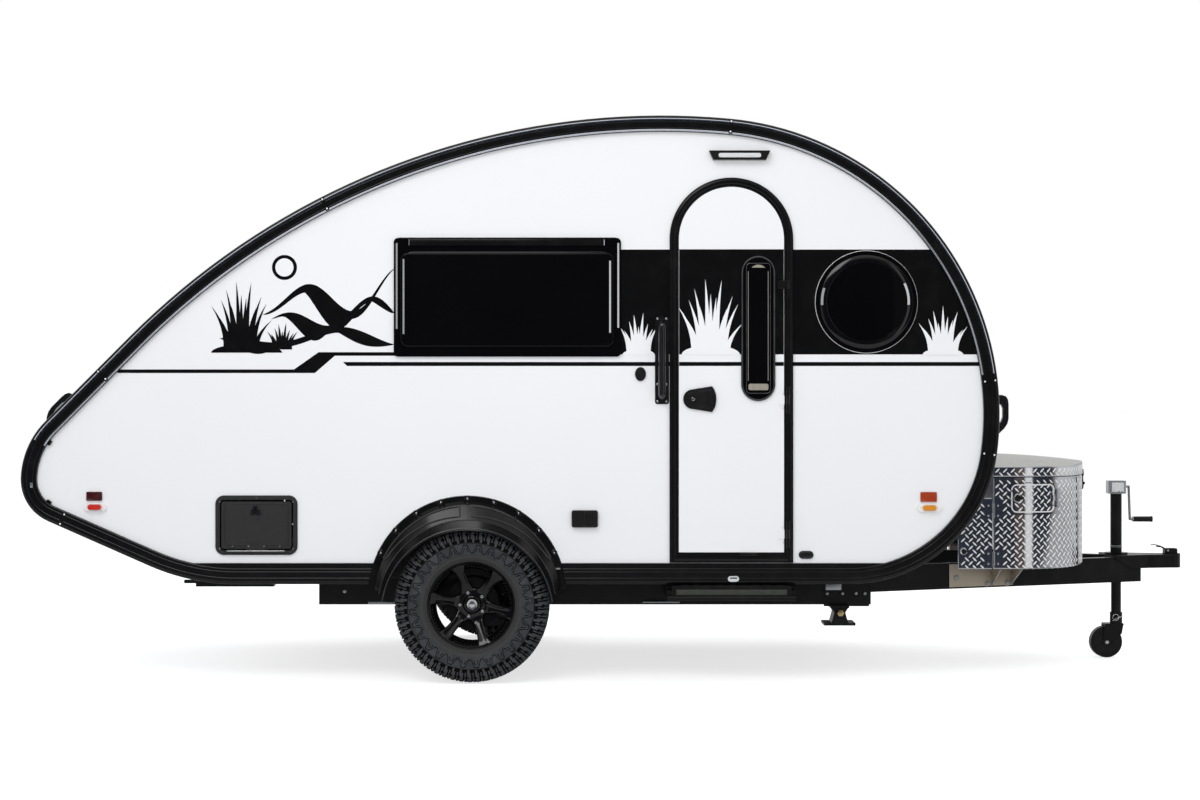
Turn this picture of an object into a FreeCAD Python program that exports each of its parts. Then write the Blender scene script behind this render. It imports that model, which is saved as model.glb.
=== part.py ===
import math
import os

import FreeCAD
import Part

# Teardrop trailer. Millimetres, +X towards the coupler, +Z up, -Y is the entry door's side.
# The origin is on the floor, below the middle of the overall length and width.

V = FreeCAD.Vector
X_AXIS = V(1, 0, 0)
Y_AXIS = V(0, 1, 0)
Z_AXIS = V(0, 0, 1)
RIGHT = -1
LEFT = 1

# ---------------------------------------------------------------- body outline
# Side view of the body's edge, anticlockwise from the front end of its flat bottom.
# An arc gives radius and sweep in degrees, a line gives its length; the two lines
# without a length close the outline.
OUTLINE_START_X = 1013.5
OUTLINE_BOTTOM_Z = 458
OUTLINE = [
    # kind, radius or length, sweep
    ("arc", 692, 82.1),      # under the nose
    ("arc", 1376, 92.7),     # nose and front of the roof
    ("arc", 3473, 50.3),     # roof
    ("line", None, 0),       # back slope
    ("arc", 390, 43.3),      # top of the tail
    ("arc", 211, 67.8),      # bottom of the tail
    ("line", 512, 0),        # rising floor behind the wheels
    ("arc", 1000, 23.8),
    ("line", None, 0),       # flat bottom
]

# ---------------------------------------------------------------- body
WALL_OUTER_Y = 985
WALL_THICKNESS = 40
WALL_INNER_Y = WALL_OUTER_Y - WALL_THICKNESS
SKIN_INSET = 8               # skin and walls lie this far inside the trim's outline
SKIN_THICKNESS = 32
TRIM_PROUD = 20              # trim stands this far out of the wall
TRIM_WIDTH = 76
TRIM_OUTER_ROUND = 16
TRIM_INNER_ROUND = 7
SILL_TOP_Z = OUTLINE_BOTTOM_Z + 98
SILL_PROUD = 12
TRIM_Y = WALL_OUTER_Y + TRIM_PROUD
SHELL_CENTRE = (OUTLINE_START_X - 1313.5, OUTLINE_BOTTOM_Z + 792)   # X, Z that panel joints point to
JOINT_FLOOR_FRONT = (OUTLINE_START_X - 13.5, OUTLINE_BOTTOM_Z + 12)
JOINT_FRONT_ROOF = (OUTLINE_START_X - 513.5, OUTLINE_BOTTOM_Z + 2152)
JOINT_ROOF_TAIL = (OUTLINE_START_X - 3476.5, OUTLINE_BOTTOM_Z + 1001)
JOINT_FLOOR_TAIL = (OUTLINE_START_X - 2793.5, OUTLINE_BOTTOM_Z + 12)
FIT = 0.3                    # seats of separate pieces
REACH = 12000                # cutters run past everything
RUN = 0.08                   # radial play of a turning fit

# ---------------------------------------------------------------- wheels and axle
WHEEL_X = OUTLINE_START_X - 1746.5
TYRE_RADIUS = 361
TYRE_WIDTH = 235
TYRE_OUTER_Y = WALL_OUTER_Y + 65
WHEEL_Z = TYRE_RADIUS
WHEEL_MID_Y = TYRE_OUTER_Y - TYRE_WIDTH / 2
RIM_RADIUS = 190
RIM_FLANGE = RIM_RADIUS + 13
RIM_WIDTH = 190
RIM_WALL = 7
SPOKES = 6
SPOKE_WAIST = 40
SPOKE_FLARE = 84               # width where a spoke meets the rim
SPOKE_FIRST_ANGLE = 49
STUDS = 5
STUD_CIRCLE = 114.3
STUD_FIRST_ANGLE = 110
STUD_RADIUS = 6
STUD_LENGTH = 34
STUD_PLAY = 0.5
HUB_RADIUS = 36
HUB_PAD_RADIUS = STUD_CIRCLE / 2 + 22.85
DRUM_RADIUS = RIM_RADIUS - 66
SPINDLE_END = 12                # past the wheel's middle
DRUM_LENGTH = 108
SPINDLE_RADIUS = 20
ARCH_RADIUS = TYRE_RADIUS + 54
TUB_WALL = 14
TUB_INNER_Y = TYRE_OUTER_Y - TYRE_WIDTH - 59
AXLE_SIZE = 70
AXLE_AHEAD = 150             # torsion beam's centre ahead of the wheel's
ARM_THICKNESS = 22
ARM_HEIGHT = 70

# ---------------------------------------------------------------- chassis
RAIL_Y = TUB_INNER_Y - 56
RAIL_WIDTH = 60
RAIL_HEIGHT = 127
RAIL_WALL = 6
RAIL_REAR_X = OUTLINE_START_X - 2487.5
RAIL_FRONT_X = OUTLINE_START_X + 135.5
CROSS_WIDTH = 60
TONGUE_HEIGHT = 125
TONGUE_WIDTH = 50
TONGUE_BOTTOM_Z = OUTLINE_BOTTOM_Z - 66
TONGUE_END_X = OUTLINE_START_X + 1580.5
TONGUE_END_Y = 46
TONGUE_ROOT_Y = RAIL_Y - RAIL_WIDTH / 2 - 28.4
TONGUE_SLOPE = math.degrees(math.atan((TONGUE_ROOT_Y - TONGUE_END_Y) / (TONGUE_END_X - RAIL_FRONT_X)))
NOSE_GAP = 3

# ---------------------------------------------------------------- coupler and jack
COUPLER_NOSE_X = TONGUE_END_X + 226.5
COUPLER_BOTTOM_Z = TONGUE_BOTTOM_Z + 67
COUPLER_TOP_Z = TONGUE_BOTTOM_Z + 138
BALL_X = COUPLER_NOSE_X - 44.5
BALL_RADIUS = 25.9
BALL_DEPTH = 44
SOCKET_RADIUS = COUPLER_NOSE_X - BALL_X
COUPLER_PLATE = 8
LATCH_TOP_Z = COUPLER_TOP_Z + 26
JACK_X = TONGUE_END_X - 99.5
JACK_TUBE_RADIUS = 28.5
JACK_TUBE_WALL = 3.2
JACK_LEG_RADIUS = 25
JACK_TUBE_BOTTOM_Z = TONGUE_BOTTOM_Z - 7
JACK_HEAD_Z = TONGUE_BOTTOM_Z + 442
JACK_HEAD_HEIGHT = 66
JACK_LEG_TOP_Z = JACK_HEAD_Z - 144
CASTER_RADIUS = 80
CASTER_WIDTH = 44
CASTER_TRAIL = 54
CASTER_BOLT = 7
CASTER_CLEARANCE = 6
FORK_PLATE = 5
CRANK_ROD = 6.5
CRANK_GRIP = 13

# ---------------------------------------------------------------- openings of the walls
WINDOW_X = OUTLINE_START_X - 1580.5              # bedside window
WINDOW_Z = OUTLINE_BOTTOM_Z + 1328
WINDOW_WIDTH = 1051
WINDOW_HEIGHT = 549
WINDOW_CORNER = 20
WINDOW_LAP = 42              # pane laps over the wall by this
PANE_THICKNESS = 14
BUMP_WIDTH = WINDOW_WIDTH - 60
BUMP_HEIGHT = WINDOW_HEIGHT - 109
BUMP_DROP = 12               # raised field's centre below the pane's
BUMP_CORNER = 38
BUMP_RISE = 14
PORT_X = OUTLINE_START_X + 81
PORT_Z = OUTLINE_BOTTOM_Z + 1307
PORT_RADIUS = 236
PORT_DOME_RADIUS = PORT_RADIUS - 23
PORT_RISE = 30
GALLEY_X = OUTLINE_START_X - 683.5
GALLEY_Z = OUTLINE_BOTTOM_Z + 1242
GALLEY_WIDTH = 620
GALLEY_HEIGHT = 400

DOOR_X = OUTLINE_START_X - 544
DOOR_ARCH_Z = OUTLINE_BOTTOM_Z + 1596
DOOR_BOTTOM_Z = OUTLINE_BOTTOM_Z + 100.5
DOOR_FRAME_RADIUS = 286
DOOR_FRAME_BAND = 35.5
DOOR_GAP = 7.5
DOOR_LINING = 12
DOOR_FRAME_PROUD = 12
DOOR_FRAME_FOOT = 42
DOOR_THICKNESS = 37
DOOR_PROUD = 14
DOOR_WINDOW_X = DOOR_X + 123.5
DOOR_WINDOW_WIDTH = 158
DOOR_WINDOW_TOP_Z = DOOR_ARCH_Z - 76
DOOR_WINDOW_BOTTOM_Z = DOOR_BOTTOM_Z + 747.5
DOOR_HINGES_Z = (DOOR_ARCH_Z - 209, DOOR_BOTTOM_Z + 751.5, DOOR_BOTTOM_Z + 131.5)
DOOR_HINGE_LENGTH = 126
HANDLE_EDGE_GAP = 19.5
HANDLE_REAR_X = DOOR_X - (DOOR_FRAME_RADIUS - DOOR_FRAME_BAND - DOOR_GAP) + HANDLE_EDGE_GAP
HANDLE_FRONT_X = HANDLE_REAR_X + 153
HANDLE_Z = DOOR_BOTTOM_Z + 756.5
HANDLE_ROUND = 46
HANDLE_HEIGHT = 120
HANDLE_BOW = 20
HANDLE_DEPTH = 15.7

HATCH_X = OUTLINE_START_X - 2742.5
HATCH_Z = OUTLINE_BOTTOM_Z + 273.5
HATCH_FRAME_WIDTH = 380
HATCH_FRAME_HEIGHT = 275
HATCH_FRAME_BAND = 20
HATCH_GAP = 8
HATCH_CORNER = 40
HATCH_THICKNESS = 27
HATCH_PROUD = 8
HATCH_HINGE_LENGTH = HATCH_FRAME_WIDTH - 102

# ---------------------------------------------------------------- ends and roof
FRONT_WINDOW_HEADING = 112   # the outline's heading at the middle of the window
FRONT_WINDOW_HEIGHT = 620
REAR_WINDOW_HEIGHT = 560
END_WINDOW_WIDTH = 1180
REAR_WINDOW_HEADING = 219
VENT_X = OUTLINE_START_X - 1133.5
VENT_SIZE = 420
VENT_BASE_RISE = 7.4            # above the outline's crown
VENT_LID_THICKNESS = 24
HANDLE_BAR_Y = WALL_INNER_Y - 145
HANDLE_WIDTH = 28

# ---------------------------------------------------------------- toolbox
BOX_REAR_X = OUTLINE_START_X + 733.5
BOX_FRONT_X = BOX_REAR_X + 548
BOX_HALF_WIDTH = RAIL_Y - 50      # as wide as the frame below it
BOX_CORNER_RADIUS = 380
BOX_CORNER_SWEEP = 62
BOX_WALL = 4
BOX_BOTTOM_Z = TONGUE_BOTTOM_Z + 109
BOX_TOP_Z = BOX_BOTTOM_Z + 439
BOX_FLOOR_Z = TONGUE_BOTTOM_Z + TONGUE_HEIGHT + FIT + BOX_WALL
LID_EDGE_Z = BOX_TOP_Z + 52
LID_CROWN = 48
LID_GAP = 3
LID_HINGE_Z = BOX_TOP_Z + 60
LID_HINGE_LENGTH = 600
LID_HINGE_BARREL = 6
WING_REAR_X = BOX_REAR_X - 170
WING_TOP_Z = BOX_BOTTOM_Z + 340
WING_HINGE = 68
WING_BODY_GAP = 14
SMALL_HATCH_REAR_X = BOX_REAR_X + 81
SMALL_HATCH_FRONT_X = SMALL_HATCH_REAR_X + 222
SMALL_HATCH_TOP_Z = BOX_TOP_Z - 30
SMALL_HATCH_BOTTOM_Z = SMALL_HATCH_TOP_Z - 142
BRACKET_FRONT_X = BOX_REAR_X + 148
BRACKET_PLATE = 5

# ---------------------------------------------------------------- step
STEP_X = DOOR_X - 1
STEP_WIDTH = 593
STEP_TOP_Z = OUTLINE_BOTTOM_Z - 28
STEP_THICKNESS = 24
STEP_NOSE = 12
STEP_FRONT_Y = TRIM_Y + 37
STEP_DEPTH = 290
STEP_GUIDE_WIDTH = 34
STEP_GUIDE_END_Y = WALL_INNER_Y + 15
STEP_GUIDE_TOP_Z = OUTLINE_BOTTOM_Z - 12


# ================================================================ drawing helpers
def arc_shift(radius, start_deg, end_deg):
    """Displacement along an arc that turns left between two headings."""
    a = math.radians(start_deg)
    b = math.radians(end_deg)
    return radius * (math.sin(b) - math.sin(a)), radius * (math.cos(a) - math.cos(b))


def close_outline(table):
    """Fill in the two missing line lengths, so that the chain ends where it starts."""
    heading = 0.0
    total = [0.0, 0.0]
    unknown = []
    for index, (kind, size, sweep) in enumerate(table):
        if kind == "arc":
            shift = arc_shift(size, heading, heading + sweep)
            heading += sweep
        else:
            step = (math.cos(math.radians(heading)), math.sin(math.radians(heading)))
            if size is None:
                unknown.append((index, step))
                continue
            shift = (size * step[0], size * step[1])
        total[0] += shift[0]
        total[1] += shift[1]
    (first, u), (second, w) = unknown
    det = u[0] * w[1] - u[1] * w[0]
    first_length = (-total[0] * w[1] + total[1] * w[0]) / det
    second_length = (-u[0] * total[1] + u[1] * total[0]) / det
    lengths = {first: first_length, second: second_length}
    return [(kind, lengths.get(i, size), sweep) for i, (kind, size, sweep) in enumerate(table)]


def chain(start, heading, table, inset, place):
    """Edges of a chain of tangent arcs and lines, moved inwards (left) by inset."""
    x, z = start
    edges = []
    for kind, size, sweep in table:
        a = math.radians(heading)
        if kind == "line":
            ends = []
            for along in (0, size):
                ends.append(place(x + along * math.cos(a) - inset * math.sin(a),
                                  z + along * math.sin(a) + inset * math.cos(a)))
            edges.append(Part.LineSegment(*ends).toShape())
            x += size * math.cos(a)
            z += size * math.sin(a)
            continue
        cx = x - size * math.sin(a)
        cz = z + size * math.cos(a)
        points = []
        for part in (0, 0.5, 1):
            b = math.radians(heading + sweep * part)
            points.append(place(cx + (size - inset) * math.sin(b), cz - (size - inset) * math.cos(b)))
        edges.append(Part.Arc(*points).toShape())
        heading += sweep
        b = math.radians(heading)
        x = cx + size * math.sin(b)
        z = cz - size * math.cos(b)
    return edges


BODY_CHAIN = close_outline(OUTLINE)


def outline_slab(inset, y0, y1):
    """Solid inside the body's outline, between two planes across Y."""
    start = (OUTLINE_START_X, OUTLINE_BOTTOM_Z)
    edges = chain(start, 0, BODY_CHAIN, inset, lambda x, z: V(x, y0, z))
    face = Part.Face(Part.Wire(edges))
    return face.extrude(V(0, y1 - y0, 0))


def outline_ring(outer, inner, y0, y1):
    low, high = min(y0, y1), max(y0, y1)
    return outline_slab(outer, low, high).cut(outline_slab(inner, low - 1, high + 1))


def outline_point(heading_wanted, inset):
    """Point, outward normal and heading where the outline runs at a heading."""
    x, z = OUTLINE_START_X, OUTLINE_BOTTOM_Z
    heading = 0.0
    for kind, size, sweep in BODY_CHAIN:
        a = math.radians(heading)
        if kind == "line":
            x += size * math.cos(a)
            z += size * math.sin(a)
            continue
        cx = x - size * math.sin(a)
        cz = z + size * math.cos(a)
        if heading <= heading_wanted <= heading + sweep:
            b = math.radians(heading_wanted)
            normal = V(math.sin(b), 0, -math.cos(b))
            return V(cx, 0, cz) + normal * (size - inset), normal
        heading += sweep
        b = math.radians(heading)
        x = cx + size * math.sin(b)
        z = cz - size * math.cos(b)
    raise ValueError("no such heading")


def sector(from_point, to_point, y0, y1):
    """Wedge seen from the side, anticlockwise between two points round SHELL_CENTRE."""
    cx, cz = SHELL_CENTRE
    a = math.atan2(from_point[1] - cz, from_point[0] - cx)
    b = math.atan2(to_point[1] - cz, to_point[0] - cx)
    while b <= a:
        b += 2 * math.pi
    steps = max(1, math.ceil((b - a) / math.radians(50)))
    points = [V(cx, y0, cz)]
    for i in range(steps + 1):
        t = a + (b - a) * i / steps
        points.append(V(cx + REACH * math.cos(t), y0, cz + REACH * math.sin(t)))
    points.append(points[0])
    return Part.Face(Part.makePolygon(points)).extrude(V(0, y1 - y0, 0))


def box(x0, x1, y0, y1, z0, z1):
    """Box between three pairs of coordinates, in either order."""
    low = V(min(x0, x1), min(y0, y1), min(z0, z1))
    return Part.makeBox(abs(x1 - x0), abs(y1 - y0), abs(z1 - z0), low)


def rod(start, end, radius):
    return Part.makeCylinder(radius, (end - start).Length, start, end - start)


def tube(start, end, radius, inner):
    return rod(start, end, radius).cut(rod(start, end, inner))


def fuse(shapes):
    first, rest = shapes[0], shapes[1:]
    return first.fuse(list(rest)).removeSplitter() if rest else first


def polygon_prism(points, direction):
    return Part.Face(Part.makePolygon(points + [points[0]])).extrude(direction)


def round_plate(centre, along, up, out, width, height, corner, depth):
    """Plate with round corners; along, up and out are unit vectors, and it grows out."""
    w = width / 2
    h = height / 2
    k = corner * (1 - math.sqrt(0.5))

    def at(a, b):
        return centre + along * a + up * b

    edges = []
    corners = [(w, h, 1, 1), (-w, h, -1, 1), (-w, -h, -1, -1), (w, -h, 1, -1)]
    arcs = []
    for x, z, sx, sz in corners:
        tall = at(x, z - sz * corner)
        flat = at(x - sx * corner, z)
        mid = at(x - sx * k, z - sz * k)
        arcs.append((tall, mid, flat) if sx * sz > 0 else (flat, mid, tall))
    for i, (start, mid, end) in enumerate(arcs):
        edges.append(Part.Arc(start, mid, end).toShape())
        follow = arcs[(i + 1) % 4][0]
        if (follow - end).Length > 0.001:
            edges.append(Part.LineSegment(end, follow).toShape())
    return Part.Face(Part.Wire(edges)).extrude(out * depth)


def side_plate(side, x, z, width, height, corner, y_from, y_to):
    """Round plate in a side wall, between two distances from the middle."""
    return round_plate(V(x, side * y_from, z), X_AXIS, Z_AXIS, V(0, side, 0),
                       width, height, corner, y_to - y_from)


def arched_plate(radius, bottom_z, y_from, y_to):
    """Door-shaped plate on the entry side with a half-round top."""
    y = -y_from
    a = V(DOOR_X - radius, y, bottom_z)
    b = V(DOOR_X + radius, y, bottom_z)
    c = V(DOOR_X + radius, y, DOOR_ARCH_Z)
    d = V(DOOR_X - radius, y, DOOR_ARCH_Z)
    top = V(DOOR_X, y, DOOR_ARCH_Z + radius)
    edges = [Part.LineSegment(a, b).toShape(), Part.LineSegment(b, c).toShape(),
             Part.Arc(c, top, d).toShape(), Part.LineSegment(d, a).toShape()]
    return Part.Face(Part.Wire(edges)).extrude(V(0, -(y_to - y_from), 0))


def hinge(point, axis, length, barrel, pin, still_arm, moving_arm):
    """Butt hinge round a pin: the still piece has the outer knuckles and the pin, and the
    moving piece the middle one. An arm is a solid that carries each piece's knuckles."""
    third = length / 3
    gap = 0.5
    start = point - axis * (length / 2)
    a = start + axis * third
    b = start + axis * (2 * third)
    end = start + axis * length
    still = [rod(start, a, barrel), rod(b, end, barrel), rod(start, end, pin)]
    still.append(still_arm.cut(rod(a, b, length * 3)))
    middle_start = a + axis * gap
    middle_end = b - axis * gap
    slab_low = rod(start - axis * length, middle_start, length * 3)
    slab_high = rod(middle_end, end + axis * length, length * 3)
    moving = moving_arm.cut(slab_low).cut(slab_high)
    moving = moving.fuse(rod(middle_start, middle_end, barrel))
    moving = moving.cut(rod(start, end, pin + RUN))
    return fuse(still), moving


SHAPES = {}


def keep(name, shapes):
    """Store one node; a list of shapes that don't touch becomes one compound."""
    if not isinstance(shapes, (list, tuple)):
        shapes = [shapes]
    solids = []
    for shape in shapes:
        solids.extend(shape.Solids)
    SHAPES[name] = solids[0] if len(solids) == 1 else Part.makeCompound(solids)


def both(make):
    return [make(RIGHT), make(LEFT)]


# ================================================================ body
def wheel_cylinder(side, radius, y_from, y_to):
    return rod(V(WHEEL_X, side * y_from, WHEEL_Z), V(WHEEL_X, side * y_to, WHEEL_Z), radius)


def hatch_plate(side, inset, y_from, y_to):
    return side_plate(side, HATCH_X, HATCH_Z, HATCH_FRAME_WIDTH - 2 * inset,
                      HATCH_FRAME_HEIGHT - 2 * inset, HATCH_CORNER - inset, y_from, y_to)


def make_wall(side):
    slab = outline_slab(SKIN_INSET, side * WALL_INNER_Y, side * WALL_OUTER_Y)
    near = WALL_INNER_Y - 5
    far = WALL_OUTER_Y + 5
    cuts = [wheel_cylinder(side, ARCH_RADIUS, near, far),
            hatch_plate(side, 10, near, far),
            side_plate(side, WINDOW_X, WINDOW_Z, WINDOW_WIDTH - 2 * WINDOW_LAP,
                       WINDOW_HEIGHT - 2 * WINDOW_LAP, WINDOW_CORNER, near, far)]
    port_hole = PORT_DOME_RADIUS - 8
    cuts.append(rod(V(PORT_X, side * near, PORT_Z), V(PORT_X, side * far, PORT_Z), port_hole))
    if side == RIGHT:
        hole = DOOR_FRAME_RADIUS - DOOR_FRAME_BAND + DOOR_LINING
        cuts.append(arched_plate(hole, DOOR_BOTTOM_Z, near, far))
    else:
        cuts.append(side_plate(side, GALLEY_X, GALLEY_Z, GALLEY_WIDTH - 2 * WINDOW_LAP,
                               GALLEY_HEIGHT - 2 * WINDOW_LAP, WINDOW_CORNER, near, far))
    return slab.cut(cuts)


def end_window_cutter(heading, height, shrink):
    point, normal = outline_point(heading, SKIN_INSET + SKIN_THICKNESS + 40)
    up = normal.cross(Y_AXIS)
    return round_plate(point, Y_AXIS, up, normal, END_WINDOW_WIDTH - 2 * shrink,
                       height - 2 * shrink, 60 - shrink, SKIN_THICKNESS + 90)


END_WINDOWS = [(FRONT_WINDOW_HEADING, FRONT_WINDOW_HEIGHT), (REAR_WINDOW_HEADING, REAR_WINDOW_HEIGHT)]


def make_shell():
    inner = SKIN_INSET + SKIN_THICKNESS
    half = WALL_INNER_Y
    band = outline_ring(SKIN_INSET, inner, -half, half)
    tub_space = [wheel_cylinder(s, ARCH_RADIUS + TUB_WALL, TUB_INNER_Y, half + 1) for s in (RIGHT, LEFT)]
    joints = [("floor_panel", JOINT_FLOOR_TAIL, JOINT_FLOOR_FRONT),
              ("front_shell", JOINT_FLOOR_FRONT, JOINT_FRONT_ROOF),
              ("roof_shell", JOINT_FRONT_ROOF, JOINT_ROOF_TAIL),
              ("tail_shell", JOINT_ROOF_TAIL, JOINT_FLOOR_TAIL)]
    windows = [end_window_cutter(h, size, 0) for h, size in END_WINDOWS]
    for name, start, end in joints:
        piece = band.common(sector(start, end, -half - 5, half + 5))
        if name == "floor_panel":
            piece = piece.cut(tub_space)
        if name in ("front_shell", "roof_shell"):
            piece = piece.cut(windows)
        keep(name, piece)


def make_trim(side):
    outer = outline_slab(0, side * WALL_OUTER_Y, side * TRIM_Y)
    face = outer.cut(outline_slab(TRIM_WIDTH, side * (WALL_OUTER_Y - 1), side * (TRIM_Y + 1)))
    face = face.makeFillet(TRIM_OUTER_ROUND, trim_edges(face, side, 0))
    face = face.makeFillet(TRIM_INNER_ROUND, trim_edges(face, side, TRIM_WIDTH))
    cap = outline_ring(0, SKIN_INSET, side * WALL_INNER_Y, side * WALL_OUTER_Y)
    sill = outline_slab(TRIM_WIDTH, side * WALL_OUTER_Y, side * (WALL_OUTER_Y + SILL_PROUD))
    sill = sill.common(box(-REACH, REACH, 0, side * REACH, 0, SILL_TOP_Z))
    arch = wheel_cylinder(side, ARCH_RADIUS, WALL_INNER_Y - 5, TRIM_Y + 5)
    return fuse([face, cap, sill]).cut(arch)


def trim_edges(face, side, inset):
    """Edges of the trim's outer face that run along the outline at an inset."""
    borders = [f for f in outline_slab(inset, -1, 1).Faces if abs(f.normalAt(0, 0).y) < 0.5]
    found = []
    for edge in face.Edges:
        if any(abs(v.Y - side * TRIM_Y) > 0.01 for v in edge.Vertexes):
            continue
        middle = edge.valueAt((edge.FirstParameter + edge.LastParameter) / 2)
        flat = Part.Vertex(V(middle.x, 0, middle.z))
        if min(f.distToShape(flat)[0] for f in borders) < 0.05:
            found.append(edge)
    return found


def make_tub(side):
    outer = wheel_cylinder(side, ARCH_RADIUS + TUB_WALL, TUB_INNER_Y, WALL_INNER_Y)
    inner = wheel_cylinder(side, ARCH_RADIUS, TUB_INNER_Y + TUB_WALL, WALL_INNER_Y + 1)
    low = OUTLINE_BOTTOM_Z + SKIN_INSET
    return outer.cut(inner).common(box(-REACH, REACH, 0, side * REACH, low, REACH))


# side, y -> centre X, centre Z, radius of the fender's section
FENDER_SECTIONS = [
    (0, WHEEL_X - 19.5, WHEEL_Z + 47, ARCH_RADIUS + 21),
    (45, WHEEL_X - 18, WHEEL_Z + 31, ARCH_RADIUS + 15),
    (78, WHEEL_X - 16, WHEEL_Z - 11, ARCH_RADIUS - 3),
    (95, WHEEL_X - 15, WHEEL_Z - 39, ARCH_RADIUS - 24),
]
FENDER_FLANGE_RADIUS = ARCH_RADIUS + 44
FENDER_FLANGE = 4
FENDER_WALL = 5
FENDER_FOOT_Z = OUTLINE_BOTTOM_Z - 22


def fender_body(side, shrink, extra):
    wires = []
    for i, (out, x, z, radius) in enumerate(FENDER_SECTIONS):
        y = WALL_OUTER_Y + out
        if i == 0:
            y -= extra
        if i == len(FENDER_SECTIONS) - 1:
            y += extra
        circle = Part.Circle(V(x, side * y, z), Y_AXIS, radius - shrink)
        wires.append(Part.Wire(circle.toShape()))
    return Part.makeLoft(wires, True, True)


def make_fender(side):
    shell = fender_body(side, 0, 0).cut(fender_body(side, FENDER_WALL, 1))
    x, z = FENDER_SECTIONS[0][1:3]
    y0 = side * WALL_OUTER_Y
    y1 = side * (TRIM_Y + FENDER_FLANGE)
    flange = tube(V(x, y0, z), V(x, y1, z), FENDER_FLANGE_RADIUS, FENDER_SECTIONS[0][3] - FENDER_WALL)
    thin = tube(V(x, y0, z), V(x, side * (WALL_OUTER_Y + FENDER_FLANGE), z),
                FENDER_FLANGE_RADIUS, FENDER_SECTIONS[0][3] - FENDER_WALL)
    high = box(-REACH, REACH, 0, side * REACH, SILL_TOP_Z, REACH)
    low = box(-REACH, REACH, 0, side * REACH, 0, SILL_TOP_Z)
    body = fuse([shell, thin.common(high), flange.common(low)])
    body = body.common(box(-REACH, REACH, 0, side * REACH, FENDER_FOOT_Z, REACH))
    return body.cut(SHAPES["edge_trim_right" if side == RIGHT else "edge_trim_left"])


# ================================================================ windows
def raised_pane(side, x, z, width, height, bump_width, bump_height, drop):
    pane = side_plate(side, x, z, width, height, WINDOW_CORNER, WALL_OUTER_Y + FIT,
                      WALL_OUTER_Y + PANE_THICKNESS)
    bump = side_plate(side, x, z - drop, bump_width, bump_height, BUMP_CORNER,
                      WALL_OUTER_Y + FIT, WALL_OUTER_Y + PANE_THICKNESS + BUMP_RISE)
    top = side * (WALL_OUTER_Y + PANE_THICKNESS + BUMP_RISE)
    edges = [e for e in bump.Edges if all(abs(v.Y - top) < 0.01 for v in e.Vertexes)]
    return fuse([pane, bump.makeFillet(BUMP_RISE * 0.8, edges)])


def porthole(side):
    """Domed round pane, turned round its axis."""
    y = side * (WALL_OUTER_Y + FIT)
    pane = rod(V(PORT_X, y, PORT_Z), V(PORT_X, side * (WALL_OUTER_Y + 10), PORT_Z), PORT_RADIUS)
    sphere_radius = (PORT_DOME_RADIUS ** 2 + PORT_RISE ** 2) / (2 * PORT_RISE)
    centre = V(PORT_X, side * (WALL_OUTER_Y + 10 + PORT_RISE - sphere_radius), PORT_Z)
    dome = Part.makeSphere(sphere_radius, centre).common(
        rod(V(PORT_X, y, PORT_Z), V(PORT_X, side * (WALL_OUTER_Y + 60), PORT_Z), PORT_DOME_RADIUS))
    return fuse([pane, dome])


def make_windows():
    panes = both(lambda s: raised_pane(s, WINDOW_X, WINDOW_Z, WINDOW_WIDTH, WINDOW_HEIGHT,
                                       BUMP_WIDTH, BUMP_HEIGHT, BUMP_DROP))
    panes.append(raised_pane(LEFT, GALLEY_X, GALLEY_Z, GALLEY_WIDTH, GALLEY_HEIGHT,
                             GALLEY_WIDTH - 60, GALLEY_HEIGHT - 80, 0))
    keep("side_windows", panes)
    keep("porthole_windows", both(porthole))
    ring = outline_ring(SKIN_INSET - 4, SKIN_INSET + 16, -END_WINDOW_WIDTH, END_WINDOW_WIDTH)
    keep("end_windows", [ring.common(end_window_cutter(h, size, FIT)) for h, size in END_WINDOWS])


# ================================================================ entry door
def make_handle(y):
    """Paddle handle's shell: a round rear end that widens to a bowed front edge."""
    def at(x, z):
        return V(x, -y, HANDLE_Z + z)
    rear = HANDLE_ROUND
    corner_x = HANDLE_FRONT_X - HANDLE_BOW
    tip_x = HANDLE_REAR_X + rear
    edges = [Part.Arc(at(tip_x, rear), at(HANDLE_REAR_X, 0), at(tip_x, -rear)).toShape(),
             Part.LineSegment(at(tip_x, -rear), at(corner_x, -HANDLE_HEIGHT / 2)).toShape(),
             Part.Arc(at(corner_x, -HANDLE_HEIGHT / 2), at(HANDLE_FRONT_X, 0),
                      at(corner_x, HANDLE_HEIGHT / 2)).toShape(),
             Part.LineSegment(at(corner_x, HANDLE_HEIGHT / 2), at(tip_x, rear)).toShape()]
    return Part.Face(Part.Wire(edges)).extrude(V(0, -HANDLE_DEPTH, 0))


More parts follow.
